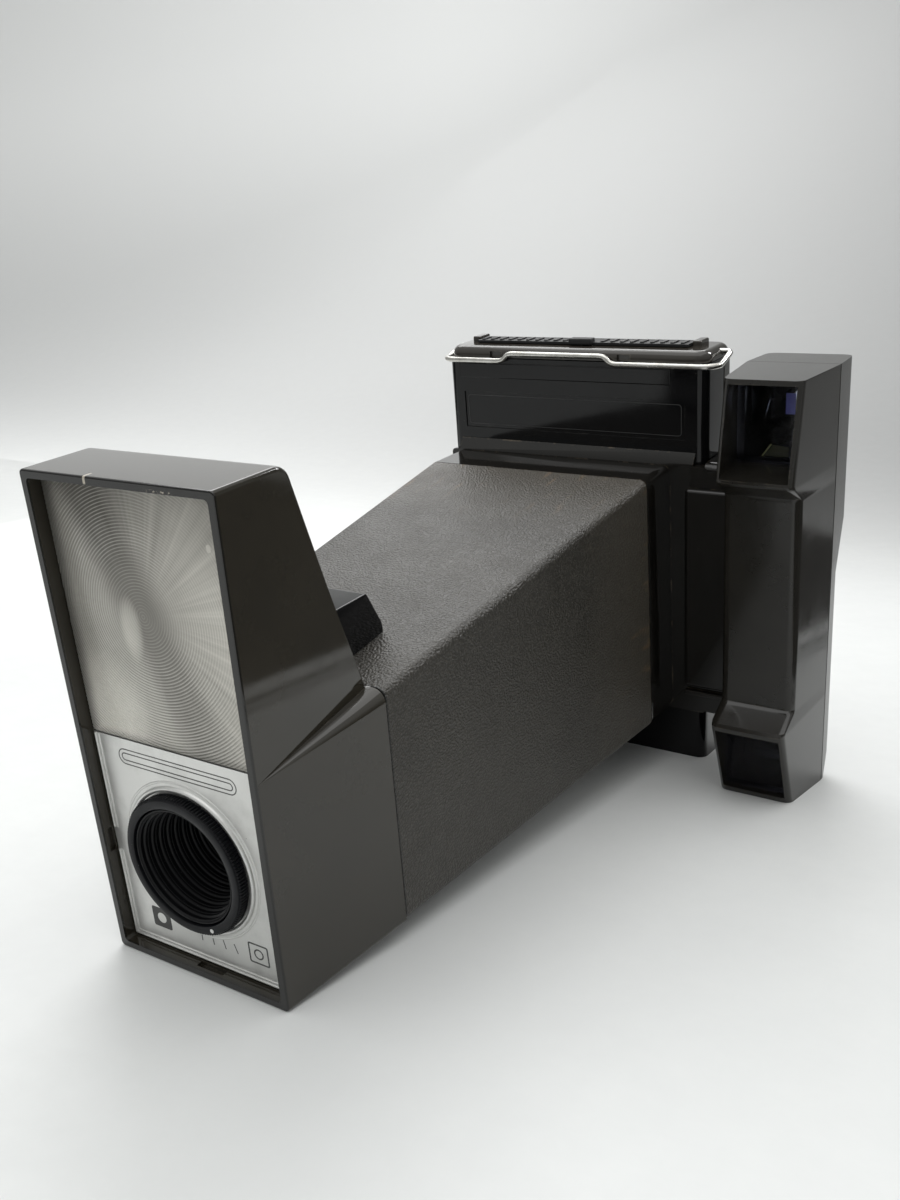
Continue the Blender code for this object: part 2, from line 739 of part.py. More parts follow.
def flash_housing(root):
    """Black socket block on the body behind the hood."""
    low = tube_top(BLOCK_BACK) + GAP
    outside = [(59.5, tube_top(59.5) + GAP), (BLOCK_BACK, low), (91.6, 102.0), (85.0, BLOCK_TOP - 0.6)]
    outside += [(84.0, BLOCK_TOP), (52.0, BLOCK_TOP)]
    shell = bar_x(outside, -BLOCK_HALF, BLOCK_HALF)
    soften(shell, 0.8, 2, keep=lambda a, b: min(a.z, b.z) > 98)
    inside = [(61.5, 90.0), (89.6, 90.0), (89.6, 101.5), (83.4, 113.0), (54.4, 113.0), (61.0, 94.5)]
    well = spindle([(SOCKET_RADIUS + 0.4, 105.0), (SOCKET_RADIUS + 0.4, 120.0)], (0.0, SOCKET_Y), "Z")
    hole = spindle([(1.4, 105.0), (1.4, 120.0)], (TRIGGER_X, SOCKET_Y), "Z", 16)
    inner_half = BLOCK_HALF - 1.8
    shell = cut(shell, bar_x(inside, -inner_half, inner_half), well, hole)
    add_part(root, "flash_housing", shell, BLACK_GLOSS)


def flash_socket_set(root):
    """Turning cube socket, the spring under it and the cube trigger pin."""
    centre = (0.0, SOCKET_Y)
    radius = SOCKET_RADIUS
    profile = [(13.4, 110.4), (13.4, 112.5), (radius, 112.6), (radius, 115.7), (radius - 0.6, 116.3)]
    socket = spindle(profile, centre, "Z")
    for half_x, half_y in ((7.5, 1.6), (1.6, 7.5)):
        y_range = (SOCKET_Y - half_y, SOCKET_Y + half_y)
        socket = cut(socket, block((-half_x, half_x), y_range, (112.5, 118.0)))
    add_part(root, "flash_socket", socket, BLACK_MATT, (0.0, SOCKET_Y, 110.4))

    base = tube_top(SOCKET_Y) + 1.6
    turns = 4
    steps = turns * 12
    path = []
    for step in range(steps + 1):
        angle = 2 * math.pi * turns * step / steps
        height = blend(base, 109.4, step / steps)
        path.append((6.0 * math.cos(angle), SOCKET_Y + 6.0 * math.sin(angle), height))
    add_part(root, "socket_spring", swept(path, 0.45, 6), SPRING_STEEL)

    pin = spindle([(1.0, 99.0), (1.0, 115.4), (0.6, 115.9)], (TRIGGER_X, SOCKET_Y), "Z", 16)
    add_part(root, "flash_trigger", pin, SPRING_STEEL, (TRIGGER_X, SOCKET_Y, 99.0))


# ---------------------------------------------------------------- body tube and rear frame

def tube_ring(y, inset, radius=3.6, place=None):
    """Cross-section of the body at y, taken in by inset."""
    share = min((y - HOUSING_DEPTH) / (TUBE_BACK - HOUSING_DEPTH), 1.0)
    low = blend(SEAM_HALF_BOTTOM, TUBE_HALF_BOTTOM, share) - inset
    high = blend(SEAM_HALF_TOP, TUBE_HALF_TOP, share) - inset
    bottom = blend(0.0, TUBE_BOTTOM, share) + inset
    top = blend(SEAM_TOP, TUBE_TOP, share) - inset
    outline = [(-low, bottom), (low, bottom), (high, top), (-high, top)]
    return along_y(rounded(outline, max(radius - inset * 0.6, 0.8)), y if place is None else place)


def body_tube(root):
    """Long grained tube with a spigot that enters the front housing."""
    spigot = []
    for inset, front, back in ((3.4, 54.4, TUBE_FRONT), (5.0, 54.4, 61.0)):
        low = SEAM_HALF_BOTTOM - inset
        high = SEAM_HALF_TOP - inset
        top = SHELF_BOTTOM - inset + HOUSING_WALL
        outline = rounded([(-low, inset), (low, inset), (high, top), (-high, top)], 1.5)
        pair = [along_y(outline, front), along_y(outline, back)]
        spigot.append(pair)
    rings = [spigot[0][1], spigot[0][0], spigot[1][0], spigot[1][1]]
    rings += [tube_ring(64.0, TUBE_WALL), tube_ring(TUBE_BACK, TUBE_WALL)]
    rings += [tube_ring(TUBE_BACK, 0.0), tube_ring(TUBE_FRONT, 0.0)]
    add_part(root, "body_tube", loft(rings, wrap=True), BROWN_GRAIN)


def rear_frame(root):
    """Collar behind the tube, chamber flange and the bridge to the column."""
    rings = [
        tube_ring(COLLAR_FRONT, 0.0),
        tube_ring(FLANGE_BACK, 0.0),
        tube_ring(FLANGE_BACK, 2.6),
        tube_ring(255.0, 2.6),
        tube_ring(252.5, 4.8),
        tube_ring(TUBE_BACK, 4.8, place=244.5),
        tube_ring(TUBE_BACK, 3.2, place=244.5),
        tube_ring(COLLAR_FRONT, 3.2),
    ]
    collar = loft(rings, wrap=True)
    flange = bar_y(rounded(rectangle(-61.5, 76.0, -9.0, 115.6), 2.0), FLANGE_FRONT, FLANGE_BACK)
    opening = loft([tube_ring(TUBE_BACK, 1.4, place=270.0), tube_ring(TUBE_BACK, 1.4, place=285.0)])
    flange = cut(flange, opening)
    foot = bar_x([(FLANGE_FRONT, 113.5), (FLANGE_FRONT, 115.6), (FLANGE_BACK, 121.0), (FLANGE_BACK, 113.5)],
                 -57.0, 69.0)
    right = 90.0
    bridge_profile = rounded(
        [(FLANGE_FRONT, -9.0), (299.0, -9.0), (299.0, 117.4), (FLANGE_FRONT, 117.4)],
        [2.0, 2.0, 2.0, 4.0],
    )
    bridge = bar_x(bridge_profile, CHAMBER_RIGHT + 0.6, right)
    panel = block((66.0, right - 0.3), (271.8, 276.5), (5.7, 105.5), 2.0)
    sill = block((66.0, right - 0.3), (272.4, 276.5), (0.6, 3.2), 0.8)
    frame = joined(collar, flange, foot, bridge, panel, sill)
    add_part(root, "rear_frame", frame, BLACK_GLOSS)


# ---------------------------------------------------------------- film chamber and door

def hinge_lug(left, right, reach):
    """Round knuckle about the hinge line, joined to a web given by reach."""
    around = bar_x(circle(KNUCKLE_RADIUS, 32, (HINGE_Y, HINGE_Z)), left, right)
    web = block((left, right), *reach)
    return joined(around, web)


def pin_bore():
    """Long cutter on the hinge line."""
    return bar_x(circle(PIN_RADIUS + GAP, 24, (HINGE_Y, HINGE_Z)), -70.0, 80.0)


def film_chamber(root):
    """Front half of the film box; its underside is one of the camera's feet."""
    corners = rectangle(CHAMBER_LEFT, CHAMBER_RIGHT, CHAMBER_FRONT, CHAMBER_BACK)
    outline = rounded(corners, [5.0, 5.0, 1.0, 1.0])
    foot = [Vector((point[0], point[1], floor_z(point[1]))) for point in outline]
    chamber = loft([foot, along_z(outline, CHAMBER_TOP)])
    band = block((-56.0, 57.0), (CHAMBER_FRONT - 0.6, CHAMBER_FRONT + 1), (151.6, 159.0), 0.5)
    chamber = joined(chamber, band)
    wall = CHAMBER_WALL
    x_range = (CHAMBER_LEFT + wall, CHAMBER_RIGHT - wall)
    inside = block(x_range, (CHAMBER_FRONT + wall, CHAMBER_BACK + 2), (CHAMBER_SILL, CHAMBER_TOP - wall))
    light_path = block((-40.0, 40.0), (CHAMBER_FRONT - 2, CHAMBER_FRONT + 5), (-5.0, 94.0))
    exit_notch = block((SLOT_LEFT - 1, SLOT_RIGHT + 1), (SLOT_FRONT - 0.4, CHAMBER_BACK + 2), (150.0, 170.0))
    label = block((-54.2, 63.5), (CHAMBER_FRONT - 2, CHAMBER_FRONT + 0.6), (126.5, 144.5))
    sink = block((-40.0, 50.0), (CHAMBER_FRONT + 4, CHAMBER_BACK + 2), (-34.6, CHAMBER_SILL + 1))
    chamber = cut(chamber, inside, light_path, exit_notch, label, sink)
    for left in (-52.0, 51.4):
        lug = hinge_lug(left, left + 11.0, ((299.5, HINGE_Y), (-36.2, -29.8)))
        chamber = joined(chamber, lug)
    add_part(root, "film_chamber", cut(chamber, pin_bore()), BLACK_GLOSS)


def film_gate(root):
    """Picture mask in front of the film pack."""
    gate = block((-58.0, 69.0), (282.0, 283.2), (-27.0, 148.0))
    frame = block((-39.5, 39.5), (280.4, 282.6), (-4.6, 93.6))
    aperture = block((-36.5, 36.5), (270.0, 290.0), (AXIS_Z - 46.0, AXIS_Z + 46.0))
    add_part(root, "film_gate", cut(joined(gate, frame), aperture), BLACK_MATT)


def back_door(root):
    """Rear half of the film box on the bottom hinge."""
    door = block((CHAMBER_LEFT, CHAMBER_RIGHT), (DOOR_FRONT, DOOR_BACK), (DOOR_BOTTOM, DOOR_TOP))
    soften(door, 3.5, 4, keep=lambda a, b: min(a.y, b.y) > DOOR_BACK - 0.1)
    wall = DOOR_WALL
    inside = block(
        (CHAMBER_LEFT + wall, CHAMBER_RIGHT - wall),
        (DOOR_FRONT - 2, DOOR_BACK - wall),
        (DOOR_BOTTOM + wall, DOOR_TOP - wall),
    )
    panel = block((-46.0, 57.0), (DOOR_BACK - 0.7, DOOR_BACK + 2), (6.0, 124.0))
    notch = block((SLOT_LEFT - 1, SLOT_RIGHT + 1), (DOOR_FRONT - 2, 303.5), (150.0, 165.0))
    door = cut(door, inside, panel, notch)
    for left in (-40.6, 31.0):
        lug = hinge_lug(left, left + 20.0, ((302.9, 309.1), (HINGE_Z, DOOR_BOTTOM + 1)))
        door = joined(door, lug)
    add_part(root, "back_door", cut(door, pin_bore()), BROWN_GLOSS, (5.5, HINGE_Y, HINGE_Z))
    pin = bar_x(circle(PIN_RADIUS, 24, (HINGE_Y, HINGE_Z)), -52.6, 63.0)
    add_part(root, "hinge_pin", pin, SPRING_STEEL)


def pack_springs(root):
    """Two bowed leaf springs that press the film pack forward."""
    heights = [12.0 + 8.0 * step for step in range(12)]
    middle = (heights[0] + heights[-1]) / 2
    half = middle - heights[0]
    line = [(307.9 - 6.5 * (1 - ((z - middle) / half) ** 2), z) for z in heights]
    profile = [(y - 0.3, z) for y, z in line] + [(y + 0.3, z) for y, z in reversed(line)]
    for name, left in (("pack_spring_left", -32.0), ("pack_spring_right", 29.0)):
        add_part(root, name, bar_x(profile, left, left + 14.0), SPRING_STEEL)


def door_cap(root):
    """End cap over the rollers, with the picture exit slot."""
    corners = rectangle(CHAMBER_LEFT + 0.4, CHAMBER_RIGHT + 0.2, CAP_FRONT, DOOR_BACK)
    outline = rounded(corners, 7.0, 6)
    cap = bar_z(outline, CAP_BOTTOM, CAP_TOP)
    soften(cap, 3.8, 5, keep=lambda a, b: min(a.z, b.z) > CAP_TOP - 0.1)
    inner = rectangle(CHAMBER_LEFT + 2.4, CHAMBER_RIGHT - 1.8, CAP_FRONT + 2, DOOR_BACK - 2)
    inside = bar_z(rounded(inner, 5.0, 4), CAP_BOTTOM - 1, CAP_TOP - 2)
    slot = block((SLOT_LEFT, SLOT_RIGHT), (SLOT_FRONT, SLOT_BACK), (160.0, 172.0))
    notches = [block((left, left + 6.5), (276.0, 281.0), (160.0, 164.6)) for left in (-38.5, 30.0)]
    cap = cut(cap, inside, slot, *notches)
    for left in (-56.0, 61.6):
        bump = block((left, left + 4.4), (293.0, 303.0), (CAP_TOP - 0.8, 169.5), 0.8)
        cap = joined(cap, bump)
    flap_bore = bar_x(circle(1.15, 20, (FLAP_PIVOT_Y, FLAP_PIVOT_Z)), -54.6, 64.6)
    bail_bore = bar_x(circle(BAIL_RADIUS + 0.4, 24, (BAIL_PIVOT_Y, BAIL_PIVOT_Z)), -70.0, 80.0)
    add_part(root, "door_cap", cut(cap, flap_bore, bail_bore), CAP_GREY)


def exit_flap(root):
    """Ribbed flap over the exit slot with a finger tab in the middle."""
    flap = block((FLAP_LEFT, FLAP_RIGHT), (289.4, 300.3), (167.15, 168.35))
    shaft = bar_x(circle(0.8, 20, (FLAP_PIVOT_Y, FLAP_PIVOT_Z)), -54.0, 64.0)
    tab = block((1.0, 13.0), (287.4, 292.4), (167.3, 170.3), 0.6)
    flap = joined(flap, shaft, tab)
    rib_count = 22
    for index in range(rib_count):
        left = blend(FLAP_LEFT + 2, FLAP_RIGHT - 4, index / (rib_count - 1))
        if -3.0 < left < 14.0:
            continue
        flap = joined(flap, block((left, left + 1.6), (290.6, 297.6), (168.1, 168.95)))
    add_part(root, "exit_flap", flap, BLACK_MATT, (5.0, FLAP_PIVOT_Y, FLAP_PIVOT_Z))


def corner_arc(centre, radius, start, steps=5):
    """Quarter turn in plan, from the start angle on."""
    arc = []
    for step in range(steps + 1):
        angle = math.radians(start + 90.0 * step / steps)
        arc.append((centre[0] + radius * math.cos(angle), centre[1] + radius * math.sin(angle)))
    return arc


def bail_latch(root):
    """Chrome wire bail that hooks over the chamber front and holds the door shut."""
    bend = 7.0
    left = BAIL_LEFT + bend
    right = BAIL_RIGHT - bend
    start = [(-59.4, BAIL_PIVOT_Y, BAIL_PIVOT_Z), (-63.6, BAIL_PIVOT_Y, BAIL_PIVOT_Z)]
    start.append((BAIL_LEFT, BAIL_PIVOT_Y - 1.7, BAIL_PIVOT_Z - 0.4))
    end = [(BAIL_RIGHT, BAIL_PIVOT_Y - 1.7, BAIL_PIVOT_Z - 0.4)]
    end += [(76.9, BAIL_PIVOT_Y, BAIL_PIVOT_Z), (70.6, BAIL_PIVOT_Y, BAIL_PIVOT_Z)]
    plan = corner_arc((left, BAIL_FRONT_Y + bend), bend, 180.0)
    plan += corner_arc((right, BAIL_FRONT_Y + bend), bend, 270.0)
    wire = [(x, y, BAIL_FRONT_Z) for x, y in plan]
    half = len(wire) // 2
    arch = [(-32.0, 0.0), (-29.5, 0.6), (-27.5, 2.9), (-25.5, BAIL_ARCH)]
    arch += [(23.0, BAIL_ARCH), (25.5, 2.9), (27.5, 0.6), (30.0, 0.0)]
    middle = [(x, BAIL_FRONT_Y, BAIL_FRONT_Z + lift) for x, lift in arch]
    path = start + wire[:half] + middle + wire[half:] + end
    pivot = (6.6, BAIL_PIVOT_Y, BAIL_PIVOT_Z)
    add_part(root, "bail_latch", swept(path, BAIL_RADIUS, 10), CHROME, pivot)


def rollers(root):
    """Two spread rollers and the carrier that holds them on the door."""
    for name, y in (("roller_front", ROLLER_FRONT_Y), ("roller_rear", ROLLER_REAR_Y)):
        profile = [(1.4, -54.2), (1.4, -51.4), (ROLLER_RADIUS, -51.3), (ROLLER_RADIUS, 61.9)]
        profile += [(1.4, 62.0), (1.4, 64.8)]
        roller = spindle(profile, (y, ROLLER_Z), "X", 36)
        add_part(root, name, roller, CHROME, (5.3, y, ROLLER_Z))
    carrier = block((-54.0, 64.6), (306.2, 308.4), (143.0, 156.4))
    for left in (-54.0, 63.0):
        carrier = joined(carrier, block((left, left + 1.6), (283.8, 307.0), (143.0, 156.4)))
    for y in (ROLLER_FRONT_Y, ROLLER_REAR_Y):
        carrier = cut(carrier, bar_x(circle(1.75, 24, (y, ROLLER_Z)), -60.0, 70.0))
    add_part(root, "roller_carrier", carrier, SPRING_STEEL)


# ---------------------------------------------------------------- viewfinder column

def column_plan(front, inset=0.0, back=COLUMN_SEAM):
    """Plan outline of the column's front shell with its face at front."""
    slope_left = (COLUMN_SEAM_LEFT - COLUMN_FACE_LEFT) / (COLUMN_SEAM - COLUMN_FACE)
    slope_right = (COLUMN_SEAM_RIGHT - COLUMN_FACE_RIGHT) / (COLUMN_SEAM - COLUMN_FACE)
    depth = max(front - COLUMN_FACE, 0.0)
    left = COLUMN_FACE_LEFT + slope_left * depth + inset
    right = COLUMN_FACE_RIGHT + slope_right * depth - inset
    back_left = COLUMN_FACE_LEFT + slope_left * (back - COLUMN_FACE) + inset
    back_right = COLUMN_FACE_RIGHT + slope_right * (back - COLUMN_FACE) - inset
    radius = 4.0 if inset == 0.0 else 2.0
    corners = [(left, front), (right, front), (back_right, back), (back_left, back)]
    return rounded(corners, [radius, radius, 0.4, 0.4])


def column_front(root):
    """Front shell of the column with its two window hoods."""
    levels = [
        (COLUMN_TOP, 245.0),
        (COLUMN_TOP - 0.8, 244.8),
        (121.0, 235.2),
        (119.0, 236.2),
        (113.0, COLUMN_FACE - 0.6),
        (111.0, COLUMN_FACE),
        (15.0, COLUMN_FACE),
        (13.4, 245.6),
        (9.0, 234.4),
        (7.4, 233.4),
        (-31.2, 247.2),
    ]
    rings = [along_z(column_plan(front), z) for z, front in levels]
    foot = column_plan(248.4)
    rings.append([Vector((point[0], point[1], floor_z(point[1]))) for point in foot])
    shell = loft(rings)
    soften(shell, 1.2, 3, keep=lambda a, b: min(a.z, b.z) > COLUMN_TOP - 0.1 and min(a.y, b.y) < 283)
    wall = COLUMN_WALL
    beyond = COLUMN_SEAM + 2
    chambers = (
        (249.6, 14.0, 112.0),
        (254.8, -30.6, 16.0),
        (261.2, 110.0, COLUMN_TOP - wall),
    )
    cutters = []
    for front, low, high in chambers:
        outline = column_plan(front, wall, beyond)
        cutters.append(bar_z(outline, low, high))
    glass_x = (96.0, 125.2)
    sight_x = (98.8, 122.6)
    upper = [(225.0, 160.4), (225.0, 122.2), (237.0, 122.2), (252.0, 124.6), (259.0, 124.6), (259.0, 160.4)]
    lower = [(225.0, 5.0), (225.0, -29.6), (252.6, -29.6), (252.6, 5.0)]
    cutters.append(bar_x(upper, *glass_x))
    cutters.append(bar_x(lower, *glass_x))
    cutters.append(block(sight_x, (255.0, 265.0), (127.0, 157.4)))
    cutters.append(block(sight_x, (250.0, 258.0), (-27.0, 2.6)))
    shell = cut(shell, *cutters)
    for z, back in SCREW_PLACES:
        post = spindle([(3.2, COLUMN_FACE + 1), (3.2, back - 4.5)], (SCREW_X, z), steps=16)
        bore = spindle([(1.6, back - 16), (1.6, back)], (SCREW_X, z), steps=16)
        shell = cut(joined(shell, post), bore)
    add_part(root, "column_front", shell, BROWN_GLOSS)


def rear_plan(back, inset=0.0, front=COLUMN_SEAM + GAP):
    """Plan outline of the column's rear shell."""
    corners = [
        (COLUMN_SEAM_LEFT + inset, front),
        (COLUMN_SEAM_RIGHT - inset, front),
        (COLUMN_BACK_RIGHT - inset, back - inset),
        (COLUMN_BACK_LEFT + inset, back - inset),
    ]
    radius = 4.5 if inset == 0.0 else 2.5
    return rounded(corners, [0.4, 0.4, radius, radius])


def column_rear(root):
    """Rear shell: deeper at the finder, slimmer at the timer."""
    levels = [
        (COLUMN_TOP, 306.0),
        (90.0, 306.0),
        (66.0, DIAL_FACE),
        (-26.0, DIAL_FACE),
        (-31.0, 294.8),
    ]
    rings = [along_z(rear_plan(back), z) for z, back in levels]
    rings.append([Vector((point[0], point[1], floor_z(point[1]))) for point in rear_plan(291.6)])
    shell = loft(rings)
    soften(shell, 1.6, 3, keep=lambda a, b: min(a.z, b.z) > COLUMN_TOP - 0.1 and max(a.y, b.y) > 285)
    wall = COLUMN_WALL
    inner_levels = [(COLUMN_TOP - wall, 306.0), (89.0, 306.0), (65.0, DIAL_FACE), (-26.0, DIAL_FACE)]
    inner_levels.append((-31.6, 293.0))
    inside = loft([along_z(rear_plan(back, wall, 282.0), z) for z, back in inner_levels])
    eyepiece = spindle([(9.0, 300.0), (9.0, 310.0)], (COLUMN_MIDDLE, FINDER_Z), steps=40)
    dial_bore = spindle([(5.0, 290.0), (5.0, 300.0)], (COLUMN_MIDDLE, DIAL_Z), steps=40)
    shell = cut(shell, inside, eyepiece, dial_bore)
    for z, back in SCREW_PLACES:
        profile = [(1.7, back - 8), (1.7, back - 1.5), (3.2, back - 1.5), (3.2, back + 1)]
        shell = cut(shell, spindle(profile, (SCREW_X, z), steps=16))
    add_part(root, "column_rear", shell, BROWN_GLOSS)
    for name, (z, back) in zip(("column_screw_upper", "column_screw_lower"), SCREW_PLACES):
        profile = [(1.3, back - 14), (1.3, back - 1.2), (2.8, back - 1.1), (2.8, back - 0.1)]
        screw = spindle(profile, (SCREW_X, z), steps=16)
        slot = block((SCREW_X - 4, SCREW_X + 4), (back - 0.6, back + 1), (z - 0.4, z + 0.4))
        add_part(root, name, cut(screw, slot), SPRING_STEEL)


def slanted_plate(centre, width, length, thickness, degrees):
    """Thin plate across the column, leaning by degrees about X."""
    half = (length / 2, thickness / 2)
    turn = Matrix.Rotation(math.radians(degrees), 2)
    middle = Vector((centre[1], centre[2]))
    outline = [middle + turn @ Vector(point) for point in rectangle(-half[0], half[0], -half[1], half[1])]
    return bar_x(outline, centre[0] - width / 2, centre[0] + width / 2)


def column_optics(root):
    """Finder windows, beam splitter, lower mirror and eyepiece."""
    upper = block((96.4, 124.8), (257.0, 258.6), (125.0, 160.0))
    add_part(root, "upper_window", upper, COATED_GLASS)
    lower = block((96.4, 124.8), (250.7, 252.2), (-29.2, 4.6))
    add_part(root, "lower_window", lower, COATED_GLASS)
    splitter = slanted_plate((OPTICS_X, OPTICS_Y, FINDER_Z), 18.0, 20.0, 1.2, 45.0)
    add_part(root, "beam_splitter", splitter, COATED_GLASS)
    mirror = slanted_plate((OPTICS_X, OPTICS_Y, MIRROR_Z), 18.0, 20.0, 1.6, 45.0)
    add_part(root, "lower_mirror", mirror, REFLECTOR)
    centre = (COLUMN_MIDDLE, FINDER_Z)
    profile = [(6.4, 302.6), (8.6, 302.6), (8.6, 306.4), (11.6, 306.4)]
    profile += [(11.6, 307.8), (10.8, 308.6), (6.4, 308.6)]
    frame = turned(profile, centre)
    add_part(root, "eyepiece_frame", frame, BLACK_MATT)
    lens = spindle([(4.0, 304.0), (6.0, 304.4), (6.0, 305.6), (4.0, 306.0)], centre, steps=36)
    add_part(root, "eyepiece_lens", lens, CLEAR_GLASS)


def timer(root):
    """Wind-up development timer: dial outside, movement inside."""
    centre = (COLUMN_MIDDLE, DIAL_Z)
    face = DIAL_FACE
    profile = [
        (1.2, 282.0),
        (1.2, 290.4),
        (4.6, 290.5),
        (4.6, face + 0.6),
        (15.0, face + 0.6),
        (15.0, face + 3.0),
        (10.0, face + 3.6),
        (9.4, face + 9.4),
        (8.6, face + 10.0),
    ]
    dial = spindle(profile, centre)
    mark_x = (COLUMN_MIDDLE - 0.8, COLUMN_MIDDLE + 0.8)
    notch = block(mark_x, (face + 2.2, face + 5.0), (DIAL_Z + 9, DIAL_Z + 16))
    add_part(root, "timer_dial", cut(dial, notch), BLACK_MATT, (COLUMN_MIDDLE, face, DIAL_Z))
    case = turned([(1.6, 278.4), (12.0, 278.4), (12.0, 289.6), (1.6, 289.6)], centre)
    add_part(root, "timer_movement", case, SPRING_STEEL)


# ---------------------------------------------------------------- assembly

def clear_scene():
    """Start from an empty scene."""
    for item in list(bpy.data.objects):
        bpy.data.objects.remove(item, do_unlink=True)


def centre_on_floor(root):
    """Tip the camera to its resting attitude and centre it over the origin."""
    root.rotation_euler = (REST_TILT, 0.0, 0.0)
    bpy.context.view_layer.update()
    corners = []
    for part in root.children:
        for vertex in part.data.vertices:
            corners.append(part.matrix_world @ vertex.co)
    xs = [corner.x for corner in corners]
    ys = [corner.y for corner in corners]
    zs = [corner.z for corner in corners]
    root.location = (-(min(xs) + max(xs)) / 2, -(min(ys) + max(ys)) / 2, -min(zs))
    bpy.context.view_layer.update()


def build():
    """Make every sub-part of the camera."""
    clear_scene()
    root = bpy.data.objects.new("camera_root", None)
    bpy.context.scene.collection.objects.link(root)
    for make in (
        front_housing,
        fresnel_diffuser,
        faceplate,
        exposure_ring,
        lens_hood,
        lens_set,
        shutter_board,
        shutter_parts,
        flash_reflector,
        hood_rear_panel,
        flash_housing,
        flash_socket_set,
        body_tube,
        rear_frame,
        film_chamber,
        film_gate,
        back_door,
        pack_springs,
        door_cap,
        exit_flap,
        bail_latch,
        rollers,
        column_front,
        column_rear,
        column_optics,
        timer,
    ):
        make(root)
    centre_on_floor(root)


build()
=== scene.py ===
import json
import math

import bmesh
import bpy
from mathutils import Matrix, Vector


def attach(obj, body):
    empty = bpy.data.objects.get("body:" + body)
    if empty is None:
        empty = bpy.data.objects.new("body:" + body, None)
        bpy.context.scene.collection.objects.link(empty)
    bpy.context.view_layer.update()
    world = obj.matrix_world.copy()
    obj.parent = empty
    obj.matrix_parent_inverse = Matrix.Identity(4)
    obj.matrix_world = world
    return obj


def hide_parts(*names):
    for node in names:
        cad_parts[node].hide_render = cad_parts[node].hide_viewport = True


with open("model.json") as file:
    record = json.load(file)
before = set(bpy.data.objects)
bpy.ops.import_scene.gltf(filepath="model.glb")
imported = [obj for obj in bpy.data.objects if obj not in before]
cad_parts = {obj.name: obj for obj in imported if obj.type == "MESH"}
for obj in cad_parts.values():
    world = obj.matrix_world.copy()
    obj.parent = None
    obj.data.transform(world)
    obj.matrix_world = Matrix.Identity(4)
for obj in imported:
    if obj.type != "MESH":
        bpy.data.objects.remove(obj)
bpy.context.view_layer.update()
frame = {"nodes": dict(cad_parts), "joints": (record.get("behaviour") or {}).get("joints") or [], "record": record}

MM = 0.001
NODES = frame["nodes"]
JOINTS = {joint["name"]: joint for joint in frame["joints"]}

# The camera body rests nose-down; its lens axis comes from the exposure ring's joint.
AXIS_Z = 44.0
LENS_JOINT = JOINTS["exposure_turn"]
TILT = math.atan2(LENS_JOINT["axis"][2], LENS_JOINT["axis"][1])
TURN = Matrix.Rotation(TILT, 3, "X")
ORIGIN = Vector(LENS_JOINT["pos_m"]) - TURN @ Vector((0.0, 0.0, AXIS_Z * MM))
OWN = Matrix.Translation(ORIGIN) @ TURN.to_4x4()

# Viewing camera, in the own frame: degrees, millimetres and shares of the frame.
VIEW_AZIMUTH = 34.339
VIEW_ELEVATION = 21.529
VIEW_ROLL = 4.561
VIEW_PLACE = (266.54, -222.83, 259.01)
VIEW_LENS = 35.28
VIEW_SHIFT = (0.0030, 0.0117)

# Studio light: world strengths near the floor and overhead, and lamp powers in watts.
WORLD_LOW = 0.42
WORLD_HIGH = 0.78
BACK_POWER = 10.0
WALL_POWER = 10.5
GLOW_POWER = 1.1
TOP_POWER = 11.0
EDGE_POWER = 8.0
# Dark cards at floor level: name, x range and y range in metres.
FLAGS = (
    ("flag_thin", (0.2035, 0.2065), (-0.2, 0.9)),
    ("flag_strip", (0.2125, 0.2185), (-0.2, 0.9)),
    ("flag_right", (0.234, 2.5), (-0.3, 1.4)),
    ("flag_front", (-2.5, 2.5), (-2.4, -0.75)),
    ("flag_left", (-2.5, -0.8), (-0.75, 1.0)),
)

# Front panels.
PANEL_FACE = 5.0
PANEL_BACK = 7.2
PLATE_BOTTOM = 3.2
PLATE_TOP = 85.1
PLATE_HALF_BOTTOM = 36.25
PLATE_HALF_TOP = 36.9
DIFFUSER_BOTTOM = 85.7
DIFFUSER_TOP = 174.2
DIFFUSER_HALF_BOTTOM = 36.95
DIFFUSER_HALF_TOP = 37.8
FRESNEL_CENTRE = (-2.0, 132.0)
FRESNEL_FIRST = 1.2
FRESNEL_PITCH = 1.05
# Slant of the painted shade band across the diffuser.
SHADE_ANGLE = math.radians(24.0)

# Layers of the printed marks, the label outline and the finder masks, front to back.
PRINT_FRONT = PANEL_FACE - 0.04
PRINT_BACK = PANEL_FACE + 0.03
LABEL_FRONT = 279.5
LABEL_BACK = 279.62
MASK_BACK = 261.9

# Colours that several recipes share.
DUST = (0.16, 0.15, 0.135)
BARE_CHIP = (0.44, 0.40, 0.33)
# The rim and seam colours are painted shade; the grey for the tube's back is painted light; the scuff brown is
# real scuffing, strengthened as painted light.
RIM_SHADE = (0.0070, 0.0065, 0.0055)
SEAM_SHADE = (0.0060, 0.0055, 0.0045)
BACK_PAINTED_LIGHT = (0.080, 0.070, 0.055)
SCUFF_AND_LIGHT_BROWN = (0.20, 0.135, 0.08)


def own(x, y, z):
    """World place of an own-frame point given in millimetres."""
    return OWN @ (Vector((x, y, z)) * MM)


def blend(start, end, share):
    """Straight-line value between start and end."""
    return start + (end - start) * share


# ---------------------------------------------------------------- shader recipes

